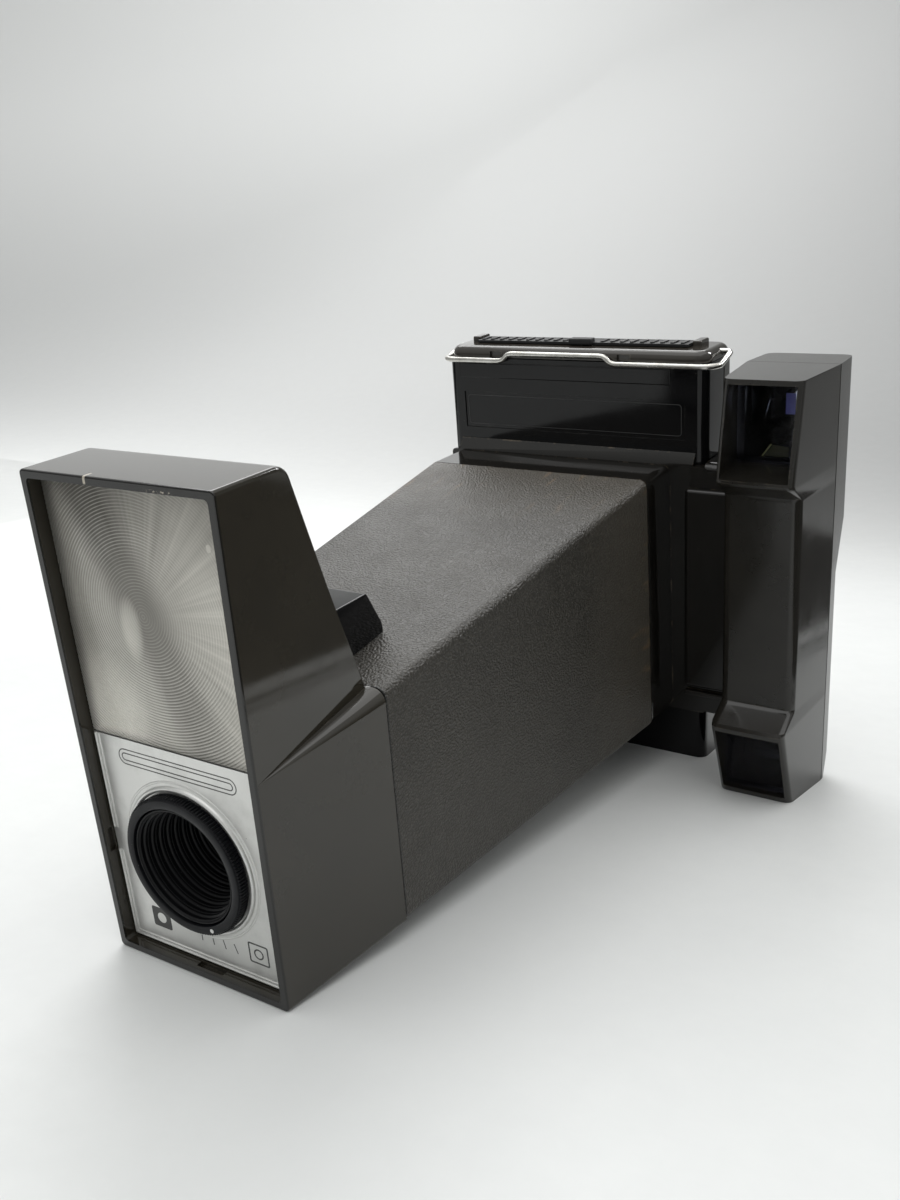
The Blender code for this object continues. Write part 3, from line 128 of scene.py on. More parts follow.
class Shader:
    """A node material under construction around one Principled shader."""

    def __init__(self, name, colour=(0.5, 0.5, 0.5), roughness=0.5, **fixed):
        self.material = bpy.data.materials.new(name)
        self.material.use_nodes = True
        self.tree = self.material.node_tree
        self.surface = self.tree.nodes["Principled BSDF"]
        self.put("Base Color", (*colour, 1.0))
        self.put("Roughness", roughness)
        for socket, value in fixed.items():
            self.put(socket.replace("_", " "), value)
        place = self.node("ShaderNodeTexCoord").outputs["Object"]
        mapping = self.node("ShaderNodeMapping", {"Vector": place}, vector_type="TEXTURE")
        mapping.inputs["Location"].default_value = ORIGIN
        mapping.inputs["Rotation"].default_value = (TILT, 0.0, 0.0)
        self.place = mapping.outputs["Vector"]

    def put(self, socket, value):
        """Set or link one input of the Principled shader."""
        self.fill(self.surface.inputs[socket], value)

    def fill(self, target, value):
        """Set a socket's value, or link another socket to it."""
        if isinstance(value, bpy.types.NodeSocket):
            self.tree.links.new(value, target)
        else:
            target.default_value = value

    def node(self, kind, values=None, **settings):
        """New node with its settings and inputs."""
        made = self.tree.nodes.new(kind)
        for key, value in settings.items():
            setattr(made, key, value)
        for socket, value in (values or {}).items():
            self.fill(made.inputs[socket], value)
        return made

    def stretched(self, stretch, turn=(0.0, 0.0, 0.0)):
        """Own-frame place scaled along each axis, for streaks and brush lines."""
        values = {"Vector": self.place, "Scale": stretch, "Rotation": turn}
        return self.node("ShaderNodeMapping", values).outputs["Vector"]

    def noise(self, scale, detail=3.0, rough=0.55, place=None):
        """Noise value; scale is in features for each metre."""
        values = {"Vector": place or self.place, "Scale": scale, "Detail": detail,
                  "Roughness": rough}
        return self.node("ShaderNodeTexNoise", values).outputs["Fac"]

    def cells(self, scale, feature="F1", place=None, jitter=1.0):
        """Distance to the nearest of scattered points."""
        values = {"Vector": place or self.place, "Scale": scale, "Randomness": jitter}
        return self.node("ShaderNodeTexVoronoi", values, feature=feature).outputs["Distance"]

    def spread(self, value, low, high, start=0.0, end=1.0, smooth=False):
        """Carry a value's range low..high to start..end."""
        values = {"Value": value, "From Min": low, "From Max": high, "To Min": start, "To Max": end}
        kind = "SMOOTHSTEP" if smooth else "LINEAR"
        return self.node("ShaderNodeMapRange", values, interpolation_type=kind).outputs["Result"]

    def sum(self, first, second, operation="ADD"):
        """Two values joined by a math operation."""
        made = self.node("ShaderNodeMath", operation=operation)
        self.fill(made.inputs[0], first)
        self.fill(made.inputs[1], second)
        return made.outputs["Value"]

    def size(self, value):
        """A value without its sign."""
        return self.node("ShaderNodeMath", {0: value}, operation="ABSOLUTE").outputs["Value"]

    def mix(self, share, first, second):
        """Colour between first and second."""
        made = self.node("ShaderNodeMix", data_type="RGBA")
        colours = [c for c in made.inputs if c.type == "RGBA"]
        self.fill(made.inputs["Factor"], share)
        for socket, value in zip(colours, (first, second)):
            self.fill(socket, (*value, 1.0) if isinstance(value, tuple) else value)
        return next(c for c in made.outputs if c.type == "RGBA")

    def bump(self, height, distance, strength=1.0, normal=None):
        """Surface normal from a height of 0 to 1, distance metres deep."""
        values = {"Height": height, "Distance": distance, "Strength": strength}
        made = self.node("ShaderNodeBump", values)
        if normal is not None:
            self.fill(made.inputs["Normal"], normal)
        return made.outputs["Normal"]

    def axis(self, letter):
        """One own-frame coordinate, in metres."""
        return self.node("ShaderNodeSeparateXYZ", {"Vector": self.place}).outputs[letter]

    def edges(self, radius):
        """Share that rises on rounded and sharp edges, where handling polishes the plastic."""
        soft = self.node("ShaderNodeBevel", {"Radius": radius}, samples=4).outputs["Normal"]
        true = self.node("ShaderNodeNewGeometry").outputs["Normal"]
        dot = self.node("ShaderNodeVectorMath", {0: soft, 1: true}, operation="DOT_PRODUCT")
        return self.spread(dot.outputs["Value"], 0.995, 0.90)


def moulded_plastic(name, dark, light, wear, rough, index=1.5, chips=False):
    """Gloss moulded plastic: cloudy colour, smudged gloss, worn edges, dust and slight waves.

    With chips, it is the front housing's: painted shade on the rim's front face and chipped plastic along its top.
    """
    shader = Shader(name, light, rough[0], IOR=index)
    clouds = shader.spread(shader.noise(22.0, 5.0, 0.6), 0.3, 0.7)
    body = shader.mix(clouds, dark, light)
    broken = shader.spread(shader.noise(160.0, 5.0, 0.7), 0.50, 0.70, 0.0, 0.7)
    worn = shader.sum(shader.edges(0.0009), broken, "MULTIPLY")
    body = shader.mix(worn, body, wear)
    dust = shader.spread(shader.cells(300.0), 0.050, 0.036)
    thin = shader.spread(shader.noise(31.0, 2.0), 0.60, 0.70)
    body = shader.mix(shader.sum(dust, thin, "MULTIPLY"), body, DUST)
    if chips:
        # Painted shade: the rim's front face is darkened.
        rim_face_shade = shader.spread(shader.axis("Y"), 0.0010, 0.0003)
        body = shader.mix(rim_face_shade, body, RIM_SHADE)
        body = shader.mix(rim_chips(shader), body, BARE_CHIP)
    shader.put("Base Color", body)
    smudge = shader.spread(shader.noise(60.0, 6.0, 0.65), 0.35, 0.8, rough[0], rough[1])
    streak_place = shader.stretched((900.0, 60.0, 260.0), (0.3, 0.2, 0.7))
    streaks = shader.spread(shader.noise(1.0, 2.0, 0.5, streak_place), 0.64, 0.80, 0.0, 0.07)
    shader.put("Roughness", shader.sum(smudge, streaks))
    wave = shader.bump(shader.noise(18.0, 1.0, 0.4), 0.0007, 0.16)
    shader.put("Normal", shader.bump(shader.noise(2600.0, 2.0), 0.000005, 0.4, wave))
    return shader.material


def rim_chips(shader):
    """Share of bare plastic in the chips along the hood's top front rim."""
    high = shader.spread(shader.axis("Z"), 0.1747, 0.1752)
    front = shader.spread(shader.axis("Y"), 0.0036, 0.0028)
    rim = shader.sum(high, front, "MULTIPLY")
    from_nick = shader.size(shader.sum(shader.axis("X"), 0.0113))
    nick = shader.spread(from_nick, 0.00062, 0.00040)
    from_scuff = shader.size(shader.sum(shader.axis("X"), -0.0190))
    spots = shader.spread(shader.noise(900.0, 3.0, 0.6), 0.52, 0.60)
    scuff = shader.sum(shader.spread(from_scuff, 0.0060, 0.0045), spots, "MULTIPLY")
    low_edge = shader.spread(shader.axis("Z"), 0.1758, 0.1753)
    scuff = shader.sum(scuff, low_edge, "MULTIPLY")
    return shader.sum(rim, shader.sum(nick, scuff, "MAXIMUM"), "MULTIPLY")


def grained_plastic(name, dark, light):
    """Pebbled leather grain with pebble peaks painted lighter as a painted highlight, painted light towards the
    back, real brown scuffs there strengthened as painted light, and painted shade along the front seam.
    """
    shader = Shader(name, light, 0.5, IOR=1.5)
    pebbles = shader.cells(1200.0, "SMOOTH_F1")
    pits = shader.noise(1700.0, 3.0, 0.6)
    height = shader.spread(pebbles, 0.05, 0.65, 1.0, 0.0)
    height = shader.sum(height, shader.sum(pits, 0.35, "MULTIPLY"))
    clouds = shader.spread(shader.noise(16.0, 5.0, 0.6), 0.3, 0.7)
    body = shader.mix(clouds, dark, light)
    # Painted highlight: the pebble peaks are painted lighter.
    pebble_highlight = shader.spread(height, 0.50, 1.1, 0.0, 0.75)
    body = shader.mix(pebble_highlight, body, (0.080, 0.072, 0.060))
    scuff_place = shader.stretched((210.0, 30.0, 210.0), (0.0, 0.0, 0.5))
    scuffs = shader.spread(shader.noise(1.0, 4.0, 0.6, scuff_place), 0.60, 0.72)
    # Painted light: the back part of the tube is painted lighter, and the real brown scuffs are strengthened there
    # as painted light.
    back_light_share = shader.spread(shader.axis("Y"), 0.19, 0.25)
    body = shader.mix(shader.sum(back_light_share, 0.62, "MULTIPLY"), body, BACK_PAINTED_LIGHT)
    scuffs = shader.sum(scuffs, shader.sum(back_light_share, 0.75, "MULTIPLY"), "MULTIPLY")
    body = shader.mix(scuffs, body, SCUFF_AND_LIGHT_BROWN)
    # Painted shade along the front seam.
    seam = shader.spread(shader.axis("Y"), 0.0594, 0.0589)
    shader.put("Base Color", shader.mix(seam, body, SEAM_SHADE))
    shader.put("Roughness", shader.spread(shader.noise(55.0, 5.0), 0.3, 0.7, 0.36, 0.48))
    wave = shader.bump(shader.noise(20.0, 1.0, 0.4), 0.0010, 0.2)
    shader.put("Normal", shader.bump(height, 0.00032, 1.0, wave))
    return shader.material


def satin_black(name, colour, rough, grain=1700.0, depth=0.00003, index=1.5):
    """Matt black moulding with a fine spark-eroded texture."""
    shader = Shader(name, colour, rough, IOR=index)
    clouds = shader.spread(shader.noise(60.0, 4.0), 0.3, 0.7)
    lighter = tuple(channel * 1.9 + 0.0005 for channel in colour)
    body = shader.mix(clouds, colour, lighter)
    dust = shader.spread(shader.cells(420.0), 0.055, 0.040)
    shader.put("Base Color", shader.mix(dust, body, (0.10, 0.10, 0.10)))
    smudge = shader.spread(shader.noise(150.0, 4.0), 0.3, 0.7, rough - 0.07, rough + 0.08)
    shader.put("Roughness", smudge)
    shader.put("Normal", shader.bump(shader.noise(grain, 3.0), depth, 0.7))
    return shader.material


def brushed_metal(name, dark, light, rough, lines=(60.0, 3000.0, 3000.0), depth=0.000008):
    """Metal with drawn or brushed lines along the axis of the smallest scale."""
    shader = Shader(name, light, rough[0], Metallic=1.0)
    grain = shader.noise(1.0, 3.0, 0.6, shader.stretched(lines))
    tarnish = shader.spread(shader.noise(90.0, 5.0, 0.65), 0.35, 0.75)
    shader.put("Base Color", shader.mix(tarnish, light, dark))
    smudge = shader.spread(shader.noise(140.0, 5.0), 0.3, 0.75, rough[0], rough[1])
    shader.put("Roughness", shader.sum(smudge, shader.spread(grain, 0.3, 0.7, -0.03, 0.05)))
    shader.put("Normal", shader.bump(grain, depth, 0.6))
    return shader.material


def clear_glass(name, tint, coat_tint, rough=0.03, index=1.5):
    """Optical glass with a faint coating colour and a trace of dust."""
    shader = Shader(name, tint, rough, IOR=index, Transmission_Weight=1.0)
    haze = shader.spread(shader.noise(120.0, 5.0), 0.35, 0.8, rough, rough + 0.05)
    specks = shader.spread(shader.cells(600.0), 0.05, 0.035)
    patches = shader.spread(shader.noise(25.0), 0.3, 0.7)
    shader.put("Base Color", shader.mix(patches, tint, coat_tint))
    shader.put("Roughness", shader.sum(haze, shader.sum(specks, 0.3, "MULTIPLY")))
    shader.put("Normal", shader.bump(shader.noise(40.0, 1.0), 0.00005, 0.05))
    return shader.material


def radius_from(shader, centre):
    """Distance from an own-frame axis along Y, in metres."""
    middle = (centre[0] * MM, 0.0, centre[1] * MM)
    flat = shader.node("ShaderNodeVectorMath", {0: shader.place, 1: (1.0, 0.0, 1.0)},
                       operation="MULTIPLY").outputs["Vector"]
    away = shader.node("ShaderNodeVectorMath", {0: flat, 1: middle}, operation="DISTANCE")
    return away.outputs["Value"]


def glow(shader, across, up, place, reach, strength):
    """Soft round patch of light about a place, sizes in millimetres from the diffuser's centre."""
    dx = shader.sum(shader.sum(across, place[0] * MM, "SUBTRACT"), reach[0] * MM, "DIVIDE")
    dz = shader.sum(shader.sum(up, place[1] * MM, "SUBTRACT"), reach[1] * MM, "DIVIDE")
    away = shader.sum(shader.sum(dx, dx, "MULTIPLY"), shader.sum(dz, dz, "MULTIPLY"))
    return shader.sum(shader.spread(away, 1.0, 0.0, smooth=True), strength, "MULTIPLY")


def reflector_glow(shader, radius):
    """Share of painted light standing for the reflector glowing behind and the rings' reflections: a painted dark
    slanting band, painted light to its right, darker towards the top, streaks, soft patches and a small painted
    glint.
    """
    across = shader.sum(shader.axis("X"), FRESNEL_CENTRE[0] * MM, "SUBTRACT")
    up = shader.sum(shader.axis("Z"), FRESNEL_CENTRE[1] * MM, "SUBTRACT")
    off_band = shader.sum(shader.sum(across, math.cos(SHADE_ANGLE), "MULTIPLY"),
                          shader.sum(up, math.sin(SHADE_ANGLE), "MULTIPLY"))
    # Painted shade: a dark band slants across the diffuser; the colour to its right is painted lighter.
    band = shader.spread(shader.size(off_band), 0.003, 0.015, -0.32, 0.0, smooth=True)
    right = shader.spread(off_band, 0.010, 0.034, 0.0, 0.30, smooth=True)
    rise = shader.spread(up, -0.042, 0.040, 0.12, -0.13)
    angle = shader.sum(up, across, "ARCTAN2")
    turning = shader.node("ShaderNodeCombineXYZ", {"X": angle}).outputs["Vector"]
    streaks = shader.spread(shader.noise(9.0, 5.0, 0.6, turning), 0.3, 0.7, -0.5, 0.5)
    outer = shader.spread(radius, 0.006, 0.030, smooth=True)
    towards_right = shader.spread(off_band, 0.0, 0.022, 0.07, 0.42, smooth=True)
    streaks = shader.sum(streaks, shader.sum(outer, towards_right, "MULTIPLY"), "MULTIPLY")
    share = shader.sum(shader.sum(shader.sum(band, right), streaks), rise)
    # Painted light: two soft bright patches and a small painted glint at the upper right.
    for place, reach, strength in (((-6.5, -5.0), (5.5, 12.5), 0.42),
                                   ((-24.0, -36.0), (22.0, 24.0), 0.36),
                                   ((32.5, 26.0), (1.1, 1.5), 1.1)):
        share = shader.sum(share, glow(shader, across, up, place, reach, strength))
    return shader.sum(share, shader.spread(shader.noise(14.0, 2.0), 0.3, 0.7, 0.38, 0.48))


def ringed(shader, radius, body):
    """Colour with painted highlights on the diffuser's ring ridges and painted shade in the grooves between them
    laid over it.
    """
    turns = shader.sum(radius, FRESNEL_FIRST * MM, "SUBTRACT")
    turns = shader.sum(turns, FRESNEL_PITCH * MM, "DIVIDE")
    step = shader.node("ShaderNodeMath", {0: turns}, operation="FRACT").outputs["Value"]
    # Painted highlight on each ring ridge.
    crest_highlight = shader.sum(shader.spread(step, 0.25, 0.42), shader.spread(step, 0.72, 0.55), "MULTIPLY")
    uneven = shader.spread(shader.noise(60.0, 4.0, 0.6), 0.3, 0.75, 0.16, 0.50)
    clear = shader.spread(radius, 0.004, 0.026, 0.25, 1.0, smooth=True)
    crest_highlight = shader.sum(crest_highlight, shader.sum(uneven, clear, "MULTIPLY"), "MULTIPLY")
    body = shader.mix(crest_highlight, body, (0.80, 0.775, 0.72))
    # Painted shade in each ring groove.
    valley_shade = shader.sum(shader.spread(step, 0.86, 1.0, 0.0, 0.26), clear, "MULTIPLY")
    return shader.mix(valley_shade, body, (0.07, 0.067, 0.058))


def fresnel_plastic():
    """Clear ringed diffuser whose colour carries painted light for the reflector behind it glowing through and for
    the rings' reflections, with painted shade along its left and bottom edges.
    """
    shader = Shader("fresnel_plastic", (0.5, 0.49, 0.47), 0.34, Metallic=0.5, Coat_Weight=0.3,
                    Coat_Roughness=0.12)
    radius = radius_from(shader, FRESNEL_CENTRE)
    body = shader.mix(reflector_glow(shader, radius), (0.118, 0.111, 0.096), (0.66, 0.638, 0.582))
    body = ringed(shader, radius, body)
    # Painted shade along the diffuser's left and bottom edges.
    left = shader.spread(shader.axis("X"), -0.0375, -0.031, 0.80, 0.0, smooth=True)
    low = shader.spread(shader.axis("Z"), 0.0855, 0.089, 0.55, 0.0, smooth=True)
    body = shader.mix(shader.sum(left, low, "MAXIMUM"), body, (0.085, 0.082, 0.07))
    shader.put("Base Color", body)
    shader.put("Roughness", shader.spread(shader.noise(180.0, 5.0), 0.3, 0.75, 0.30, 0.42))
    shader.put("Normal", shader.bump(shader.noise(500.0, 3.0), 0.00003, 0.2))
    return shader.material


def satin_silver():
    """Pale satin foil of the lens plate, with faint handling marks."""
    shader = Shader("satin_silver", (0.66, 0.66, 0.64), 0.4, Metallic=0.75)
    grain = shader.noise(1.0, 3.0, 0.6, shader.stretched((2600.0, 200.0, 90.0)))
    marks = shader.spread(shader.noise(75.0, 6.0, 0.65), 0.45, 0.8)
    body = shader.mix(marks, (0.70, 0.70, 0.68), (0.55, 0.55, 0.53))
    dust = shader.spread(shader.cells(260.0), 0.045, 0.030)
    some = shader.spread(shader.noise(45.0), 0.56, 0.62)
    body = shader.mix(shader.sum(dust, some, "MULTIPLY"), body, (0.10, 0.09, 0.08))
    shader.put("Base Color", body)
    shader.put("Roughness", shader.spread(shader.noise(120.0, 5.0), 0.3, 0.75, 0.34, 0.46))
    shader.put("Normal", shader.bump(grain, 0.000006, 0.5))
    return shader.material


def sweep_paint():
    """Pale studio sweep with faint cloudy marks, with painted shade where it curves up and to the right and
    painted light higher up the wall.
    """
    shader = Shader("sweep_paint", (0.80, 0.81, 0.81), 0.55)
    shader.place = shader.node("ShaderNodeTexCoord").outputs["Object"]
    clouds = shader.spread(shader.noise(3.2, 5.0, 0.6), 0.35, 0.7)
    fine = shader.spread(shader.noise(60.0, 5.0, 0.7), 0.3, 0.8)
    body = shader.mix(clouds, (0.80, 0.81, 0.80), (0.74, 0.75, 0.745))
    body = shader.mix(shader.sum(fine, 0.25, "MULTIPLY"), body, (0.68, 0.69, 0.685))
    # Painted shade on the far floor and the lower curve, darker still to the right; painted light higher up.
    far = shader.spread(shader.axis("Y"), 0.40, 1.1, smooth=True)
    right = shader.spread(shader.axis("X"), -1.3, 0.35, smooth=True)
    high = shader.spread(shader.axis("Z"), 0.12, 0.75, smooth=True)
    body = shader.mix(far, body, (0.56, 0.565, 0.562))
    body = shader.mix(high, body, (0.82, 0.825, 0.82))
    body = shader.mix(shader.sum(far, right, "MULTIPLY"), body, (0.28, 0.282, 0.281))
    shader.put("Base Color", body)
    shader.put("Roughness", shader.spread(fine, 0.0, 1.0, 0.48, 0.62))
    shader.put("Normal", shader.bump(fine, 0.0004, 0.08))
    return shader.material


BROWN = moulded_plastic("moulded_brown", (0.0210, 0.0190, 0.0150), (0.0272, 0.0245, 0.0193),
                        (0.090, 0.076, 0.058), (0.13, 0.22))
HOUSING_BROWN = moulded_plastic("housing_brown", (0.0232, 0.0203, 0.0150),
                                (0.0298, 0.0259, 0.0188), (0.090, 0.076, 0.058),
                                (0.035, 0.10), 1.53, True)
CAP_BROWN = moulded_plastic("polished_brown", (0.026, 0.0225, 0.0185), (0.040, 0.035, 0.029),
                            (0.14, 0.12, 0.095), (0.09, 0.18))
COLUMN_BROWN = moulded_plastic("column_brown", (0.0120, 0.0110, 0.0092), (0.0175, 0.0158, 0.0128),
                               (0.120, 0.100, 0.074), (0.08, 0.18), 1.46)
COLLAR_BROWN = moulded_plastic("collar_brown", (0.0070, 0.0064, 0.0056), (0.0125, 0.0112, 0.0092),
                               (0.190, 0.148, 0.100), (0.05, 0.13), 1.46)
BLACK_GLOSS = moulded_plastic("gloss_black", (0.0030, 0.0030, 0.0034), (0.0055, 0.0055, 0.0060),
                              (0.035, 0.033, 0.030), (0.06, 0.14), 1.36)
GRAINED = grained_plastic("grained_brown", (0.0235, 0.0212, 0.0170), (0.0335, 0.0302, 0.0240))
BLACK_DULL = satin_black("dull_black", (0.006, 0.006, 0.0065), 0.58)
SILVER = satin_silver()
FRESNEL = fresnel_plastic()
REFLECTOR = brushed_metal("pebbled_reflector", (0.60, 0.60, 0.60), (0.80, 0.80, 0.79), (0.22, 0.34),
                          (900.0, 900.0, 900.0), 0.00008)
CHROME = brushed_metal("bright_chrome", (0.36, 0.35, 0.32), (0.62, 0.61, 0.58), (0.17, 0.30),
                       (80.0, 2400.0, 2400.0))
STEEL = brushed_metal("plain_steel", (0.30, 0.29, 0.28), (0.46, 0.46, 0.45), (0.26, 0.38))
DARK_STEEL = brushed_metal("blackened_steel", (0.05, 0.05, 0.052), (0.10, 0.10, 0.10), (0.32, 0.44))
MIRROR = brushed_metal("mirror_silver", (0.66, 0.66, 0.68), (0.80, 0.80, 0.81), (0.03, 0.09))
LENS_GLASS = clear_glass("lens_glass", (0.93, 0.96, 0.97), (0.84, 0.88, 0.95))
COATED_GLASS = clear_glass("coated_glass", (0.52, 0.53, 0.60), (0.42, 0.43, 0.52), 0.012, 1.2)
WHITE_PAINT = satin_black("white_paint", (0.40, 0.40, 0.39), 0.45)

SLOT_MATERIALS = {
    "brown_gloss": BROWN, "brown_grain": GRAINED, "black_gloss": BLACK_GLOSS,
    "black_matt": BLACK_DULL, "cap_grey": CAP_BROWN, "silver_panel": SILVER,
    "diffuser": FRESNEL, "clear_glass": LENS_GLASS, "coated_glass": COATED_GLASS,
    "mirror": MIRROR, "reflector": REFLECTOR, "chrome": CHROME, "spring_steel": STEEL,
    "dark_steel": DARK_STEEL, "white_paint": WHITE_PAINT,
}
NODE_MATERIALS = {"front_housing": HOUSING_BROWN, "rear_frame": COLLAR_BROWN,
                  "column_front": COLUMN_BROWN, "column_rear": COLUMN_BROWN}


# ---------------------------------------------------------------- carried-over CAD nodes

# Edge radius in millimetres that each CAD node's sharp edges get.
EDGE_RADII = {
    "front_housing": 0.95, "body_tube": 0.25, "rear_frame": 2.2, "film_chamber": 0.6,
    "back_door": 0.5, "door_cap": 0.35, "column_front": 0.8, "column_rear": 0.7,
    "flash_housing": 0.3, "hood_rear_panel": 0.2, "flash_socket": 0.3, "timer_dial": 0.25,
    "exit_flap": 0.2, "eyepiece_frame": 0.3, "shutter_lever": 0.3, "shutter_board": 0.2,
}
# These keep their triangles, because their pierced faces don't join into clean ones.
PIERCED = {"film_chamber", "exit_flap"}
SMOOTH_ANGLE = math.radians(38.0)
BEVEL_ANGLE = math.radians(35.0)
FLAT_ANGLE = math.radians(0.6)
WELD_REACH = 0.008
NORMAL_WEIGHT = 60


def smoothing_group():
    """Geometry nodes that shade a mesh smooth, except across sharp edges."""
    group = bpy.data.node_groups.new("smooth_by_angle", "GeometryNodeTree")
    group.interface.new_socket("Geometry", in_out="INPUT", socket_type="NodeSocketGeometry")
    group.interface.new_socket("Geometry", in_out="OUTPUT", socket_type="NodeSocketGeometry")
    start = group.nodes.new("NodeGroupInput")
    end = group.nodes.new("NodeGroupOutput")
    faces = group.nodes.new("GeometryNodeSetShadeSmooth")
    edges = group.nodes.new("GeometryNodeSetShadeSmooth")
    edges.domain = "EDGE"
    angle = group.nodes.new("GeometryNodeInputMeshEdgeAngle")
    compare = group.nodes.new("FunctionNodeCompare")
    compare.operation = "GREATER_THAN"
    compare.inputs[1].default_value = SMOOTH_ANGLE
    edges.inputs["Shade Smooth"].default_value = False
    link = group.links.new
    link(start.outputs[0], faces.inputs["Geometry"])
    link(faces.outputs["Geometry"], edges.inputs["Geometry"])
    link(angle.outputs["Unsigned Angle"], compare.inputs[0])
    link(compare.outputs["Result"], edges.inputs["Selection"])
    link(edges.outputs["Geometry"], end.inputs[0])
    return group


SMOOTH = smoothing_group()


def dress_node(name, material):
    """Give a CAD node its material, welded corners, rounded edges and smooth shading."""
    node = NODES[name]
    node.data.materials.clear()
    node.data.materials.append(material)
    weld = node.modifiers.new("weld", "WELD")
    weld.merge_threshold = WELD_REACH * MM
    if name not in PIERCED:
        flat = node.modifiers.new("flat", "DECIMATE")
        flat.decimate_type = "DISSOLVE"
        flat.angle_limit = FLAT_ANGLE
    radius = EDGE_RADII.get(name, 0.0)
    if radius:
        bevel = node.modifiers.new("edges", "BEVEL")
        bevel.width = radius * MM
        bevel.segments = 3
        bevel.limit_method = "ANGLE"
        bevel.angle_limit = BEVEL_ANGLE
        bevel.miter_outer = "MITER_ARC"
    shade = node.modifiers.new("smooth", "NODES")
    shade.node_group = SMOOTH
    if radius:
        normals = node.modifiers.new("normals", "WEIGHTED_NORMAL")
        normals.keep_sharp = True
        normals.weight = NORMAL_WEIGHT


for part in frame["record"]["subparts"]:
    plain = SLOT_MATERIALS[part["material_slot"]]
    dress_node(part["node"], NODE_MATERIALS.get(part["node"], plain))


# ---------------------------------------------------------------- mesh builders

def add_piece(name, solid, body, material, nodes=(), smooth=30.0):
    """New visual piece from a mesh in own-frame millimetres."""
    bmesh.ops.recalc_face_normals(solid, faces=solid.faces)
    mesh = bpy.data.meshes.new(name)
    solid.to_mesh(mesh)
    solid.free()
    mesh.transform(OWN @ Matrix.Scale(MM, 4))
    mesh.shade_smooth()
    mesh.set_sharp_from_angle(angle=math.radians(smooth))
    mesh.materials.append(material)
    piece = bpy.data.objects.new(name, mesh)
    bpy.context.scene.collection.objects.link(piece)
    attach(piece, body)
    if nodes:
        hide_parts(*nodes)
    return piece


def skin(solid, rows, wrap_rows=False):
    """Quads between rows of points; each row closes on itself."""
    made = [[solid.verts.new(point) for point in row] for row in rows]
    pairs = list(zip(made, made[1:]))
    if wrap_rows:
        pairs.append((made[-1], made[0]))
    for first, second in pairs:
        for index in range(len(first)):
            after = (index + 1) % len(first)
            solid.faces.new((first[index], first[after], second[after], second[index]))
    return made


def lathe(profile, steps=96, centre=(0.0, AXIS_Z), tooth=None, closed=True):
    """Solid turned about an axis along Y from (radius, y) points."""
    solid = bmesh.new()
    rows = []
    for index, (radius, y) in enumerate(profile):
        row = []
        for step in range(steps):
            angle = 2 * math.pi * step / steps
            reach = radius - (tooth(index, step) if tooth else 0.0)
            row.append((centre[0] + reach * math.cos(angle), y,
                        centre[1] + reach * math.sin(angle)))
        rows.append(row)
    if not closed:
        return capped(solid, rows)
    skin(solid, rows, True)
    return solid


def capped(solid, rows):
    """Closed body skinned along rows of points, with a face at each end."""
    made = skin(solid, rows)
    solid.faces.new(made[0])
    solid.faces.new(made[-1])
    return solid


def prism(outline, front, back, solid=None):
    """Plate from an outline of (x, z) points."""
    solid = solid or bmesh.new()
    return capped(solid, [[(x, y, z) for x, z in outline] for y in (front, back)])


def frame_strip(outer, inner, front, back, solid=None):
    """Flat frame between two outlines with the same number of points."""
    solid = solid or bmesh.new()
    rows = [[(x, y, z) for x, z in line] for line, y in
            ((outer, back), (outer, front), (inner, front), (inner, back))]
    skin(solid, rows, True)
    return solid


def circle(centre, radius, steps=28):
    """Outline of a circle about an (x, z) centre."""
    turn = [2 * math.pi * step / steps for step in range(steps)]
    return [(centre[0] + radius * math.cos(a), centre[1] + radius * math.sin(a)) for a in turn]


def rounded(left, right, low, high, radius, steps=6):
    """Rectangle outline with round corners."""
    outline = []
    corners = ((right, high, 0), (left, high, 90), (left, low, 180), (right, low, 270))
    for x, z, start in corners:
        cx = x - radius if x == right else x + radius
        cz = z - radius if z == high else z + radius
        for step in range(steps + 1):
            angle = math.radians(start + 90.0 * step / steps)
            outline.append((cx + radius * math.cos(angle), cz + radius * math.sin(angle)))
    return outline


# ---------------------------------------------------------------- front panels

def diffuser_panel():
    """Diffuser with its concentric ridges, trimmed to the hood opening."""
    rings = 61
    solid = bmesh.new()
    rows = []
    for index in range(rings):
        radius = FRESNEL_FIRST + index * FRESNEL_PITCH
        depth = FRESNEL_PITCH * math.tan(math.radians(blend(1.0, 15.0, index / rings)))
        for reach, y in ((radius, PANEL_FACE), (radius + FRESNEL_PITCH * 0.9, PANEL_FACE + depth)):
            rows.append([(x, y, z) for x, z in circle(FRESNEL_CENTRE, reach, 168)])
    made = skin(solid, rows)
    solid.faces.new(made[0])
    trim_to_opening(solid)
    rim = [edge for edge in solid.edges if edge.is_boundary]
    grown = bmesh.ops.extrude_edge_only(solid, edges=rim)["geom"]
    for vert in (item for item in grown if isinstance(item, bmesh.types.BMVert)):
        vert.co.y = PANEL_BACK
    back = [edge for edge in solid.edges if edge.is_boundary]
    bmesh.ops.holes_fill(solid, edges=back, sides=0)
    add_piece("diffuser_panel", solid, "camera_body", FRESNEL, ("fresnel_diffuser",),
              4.0)


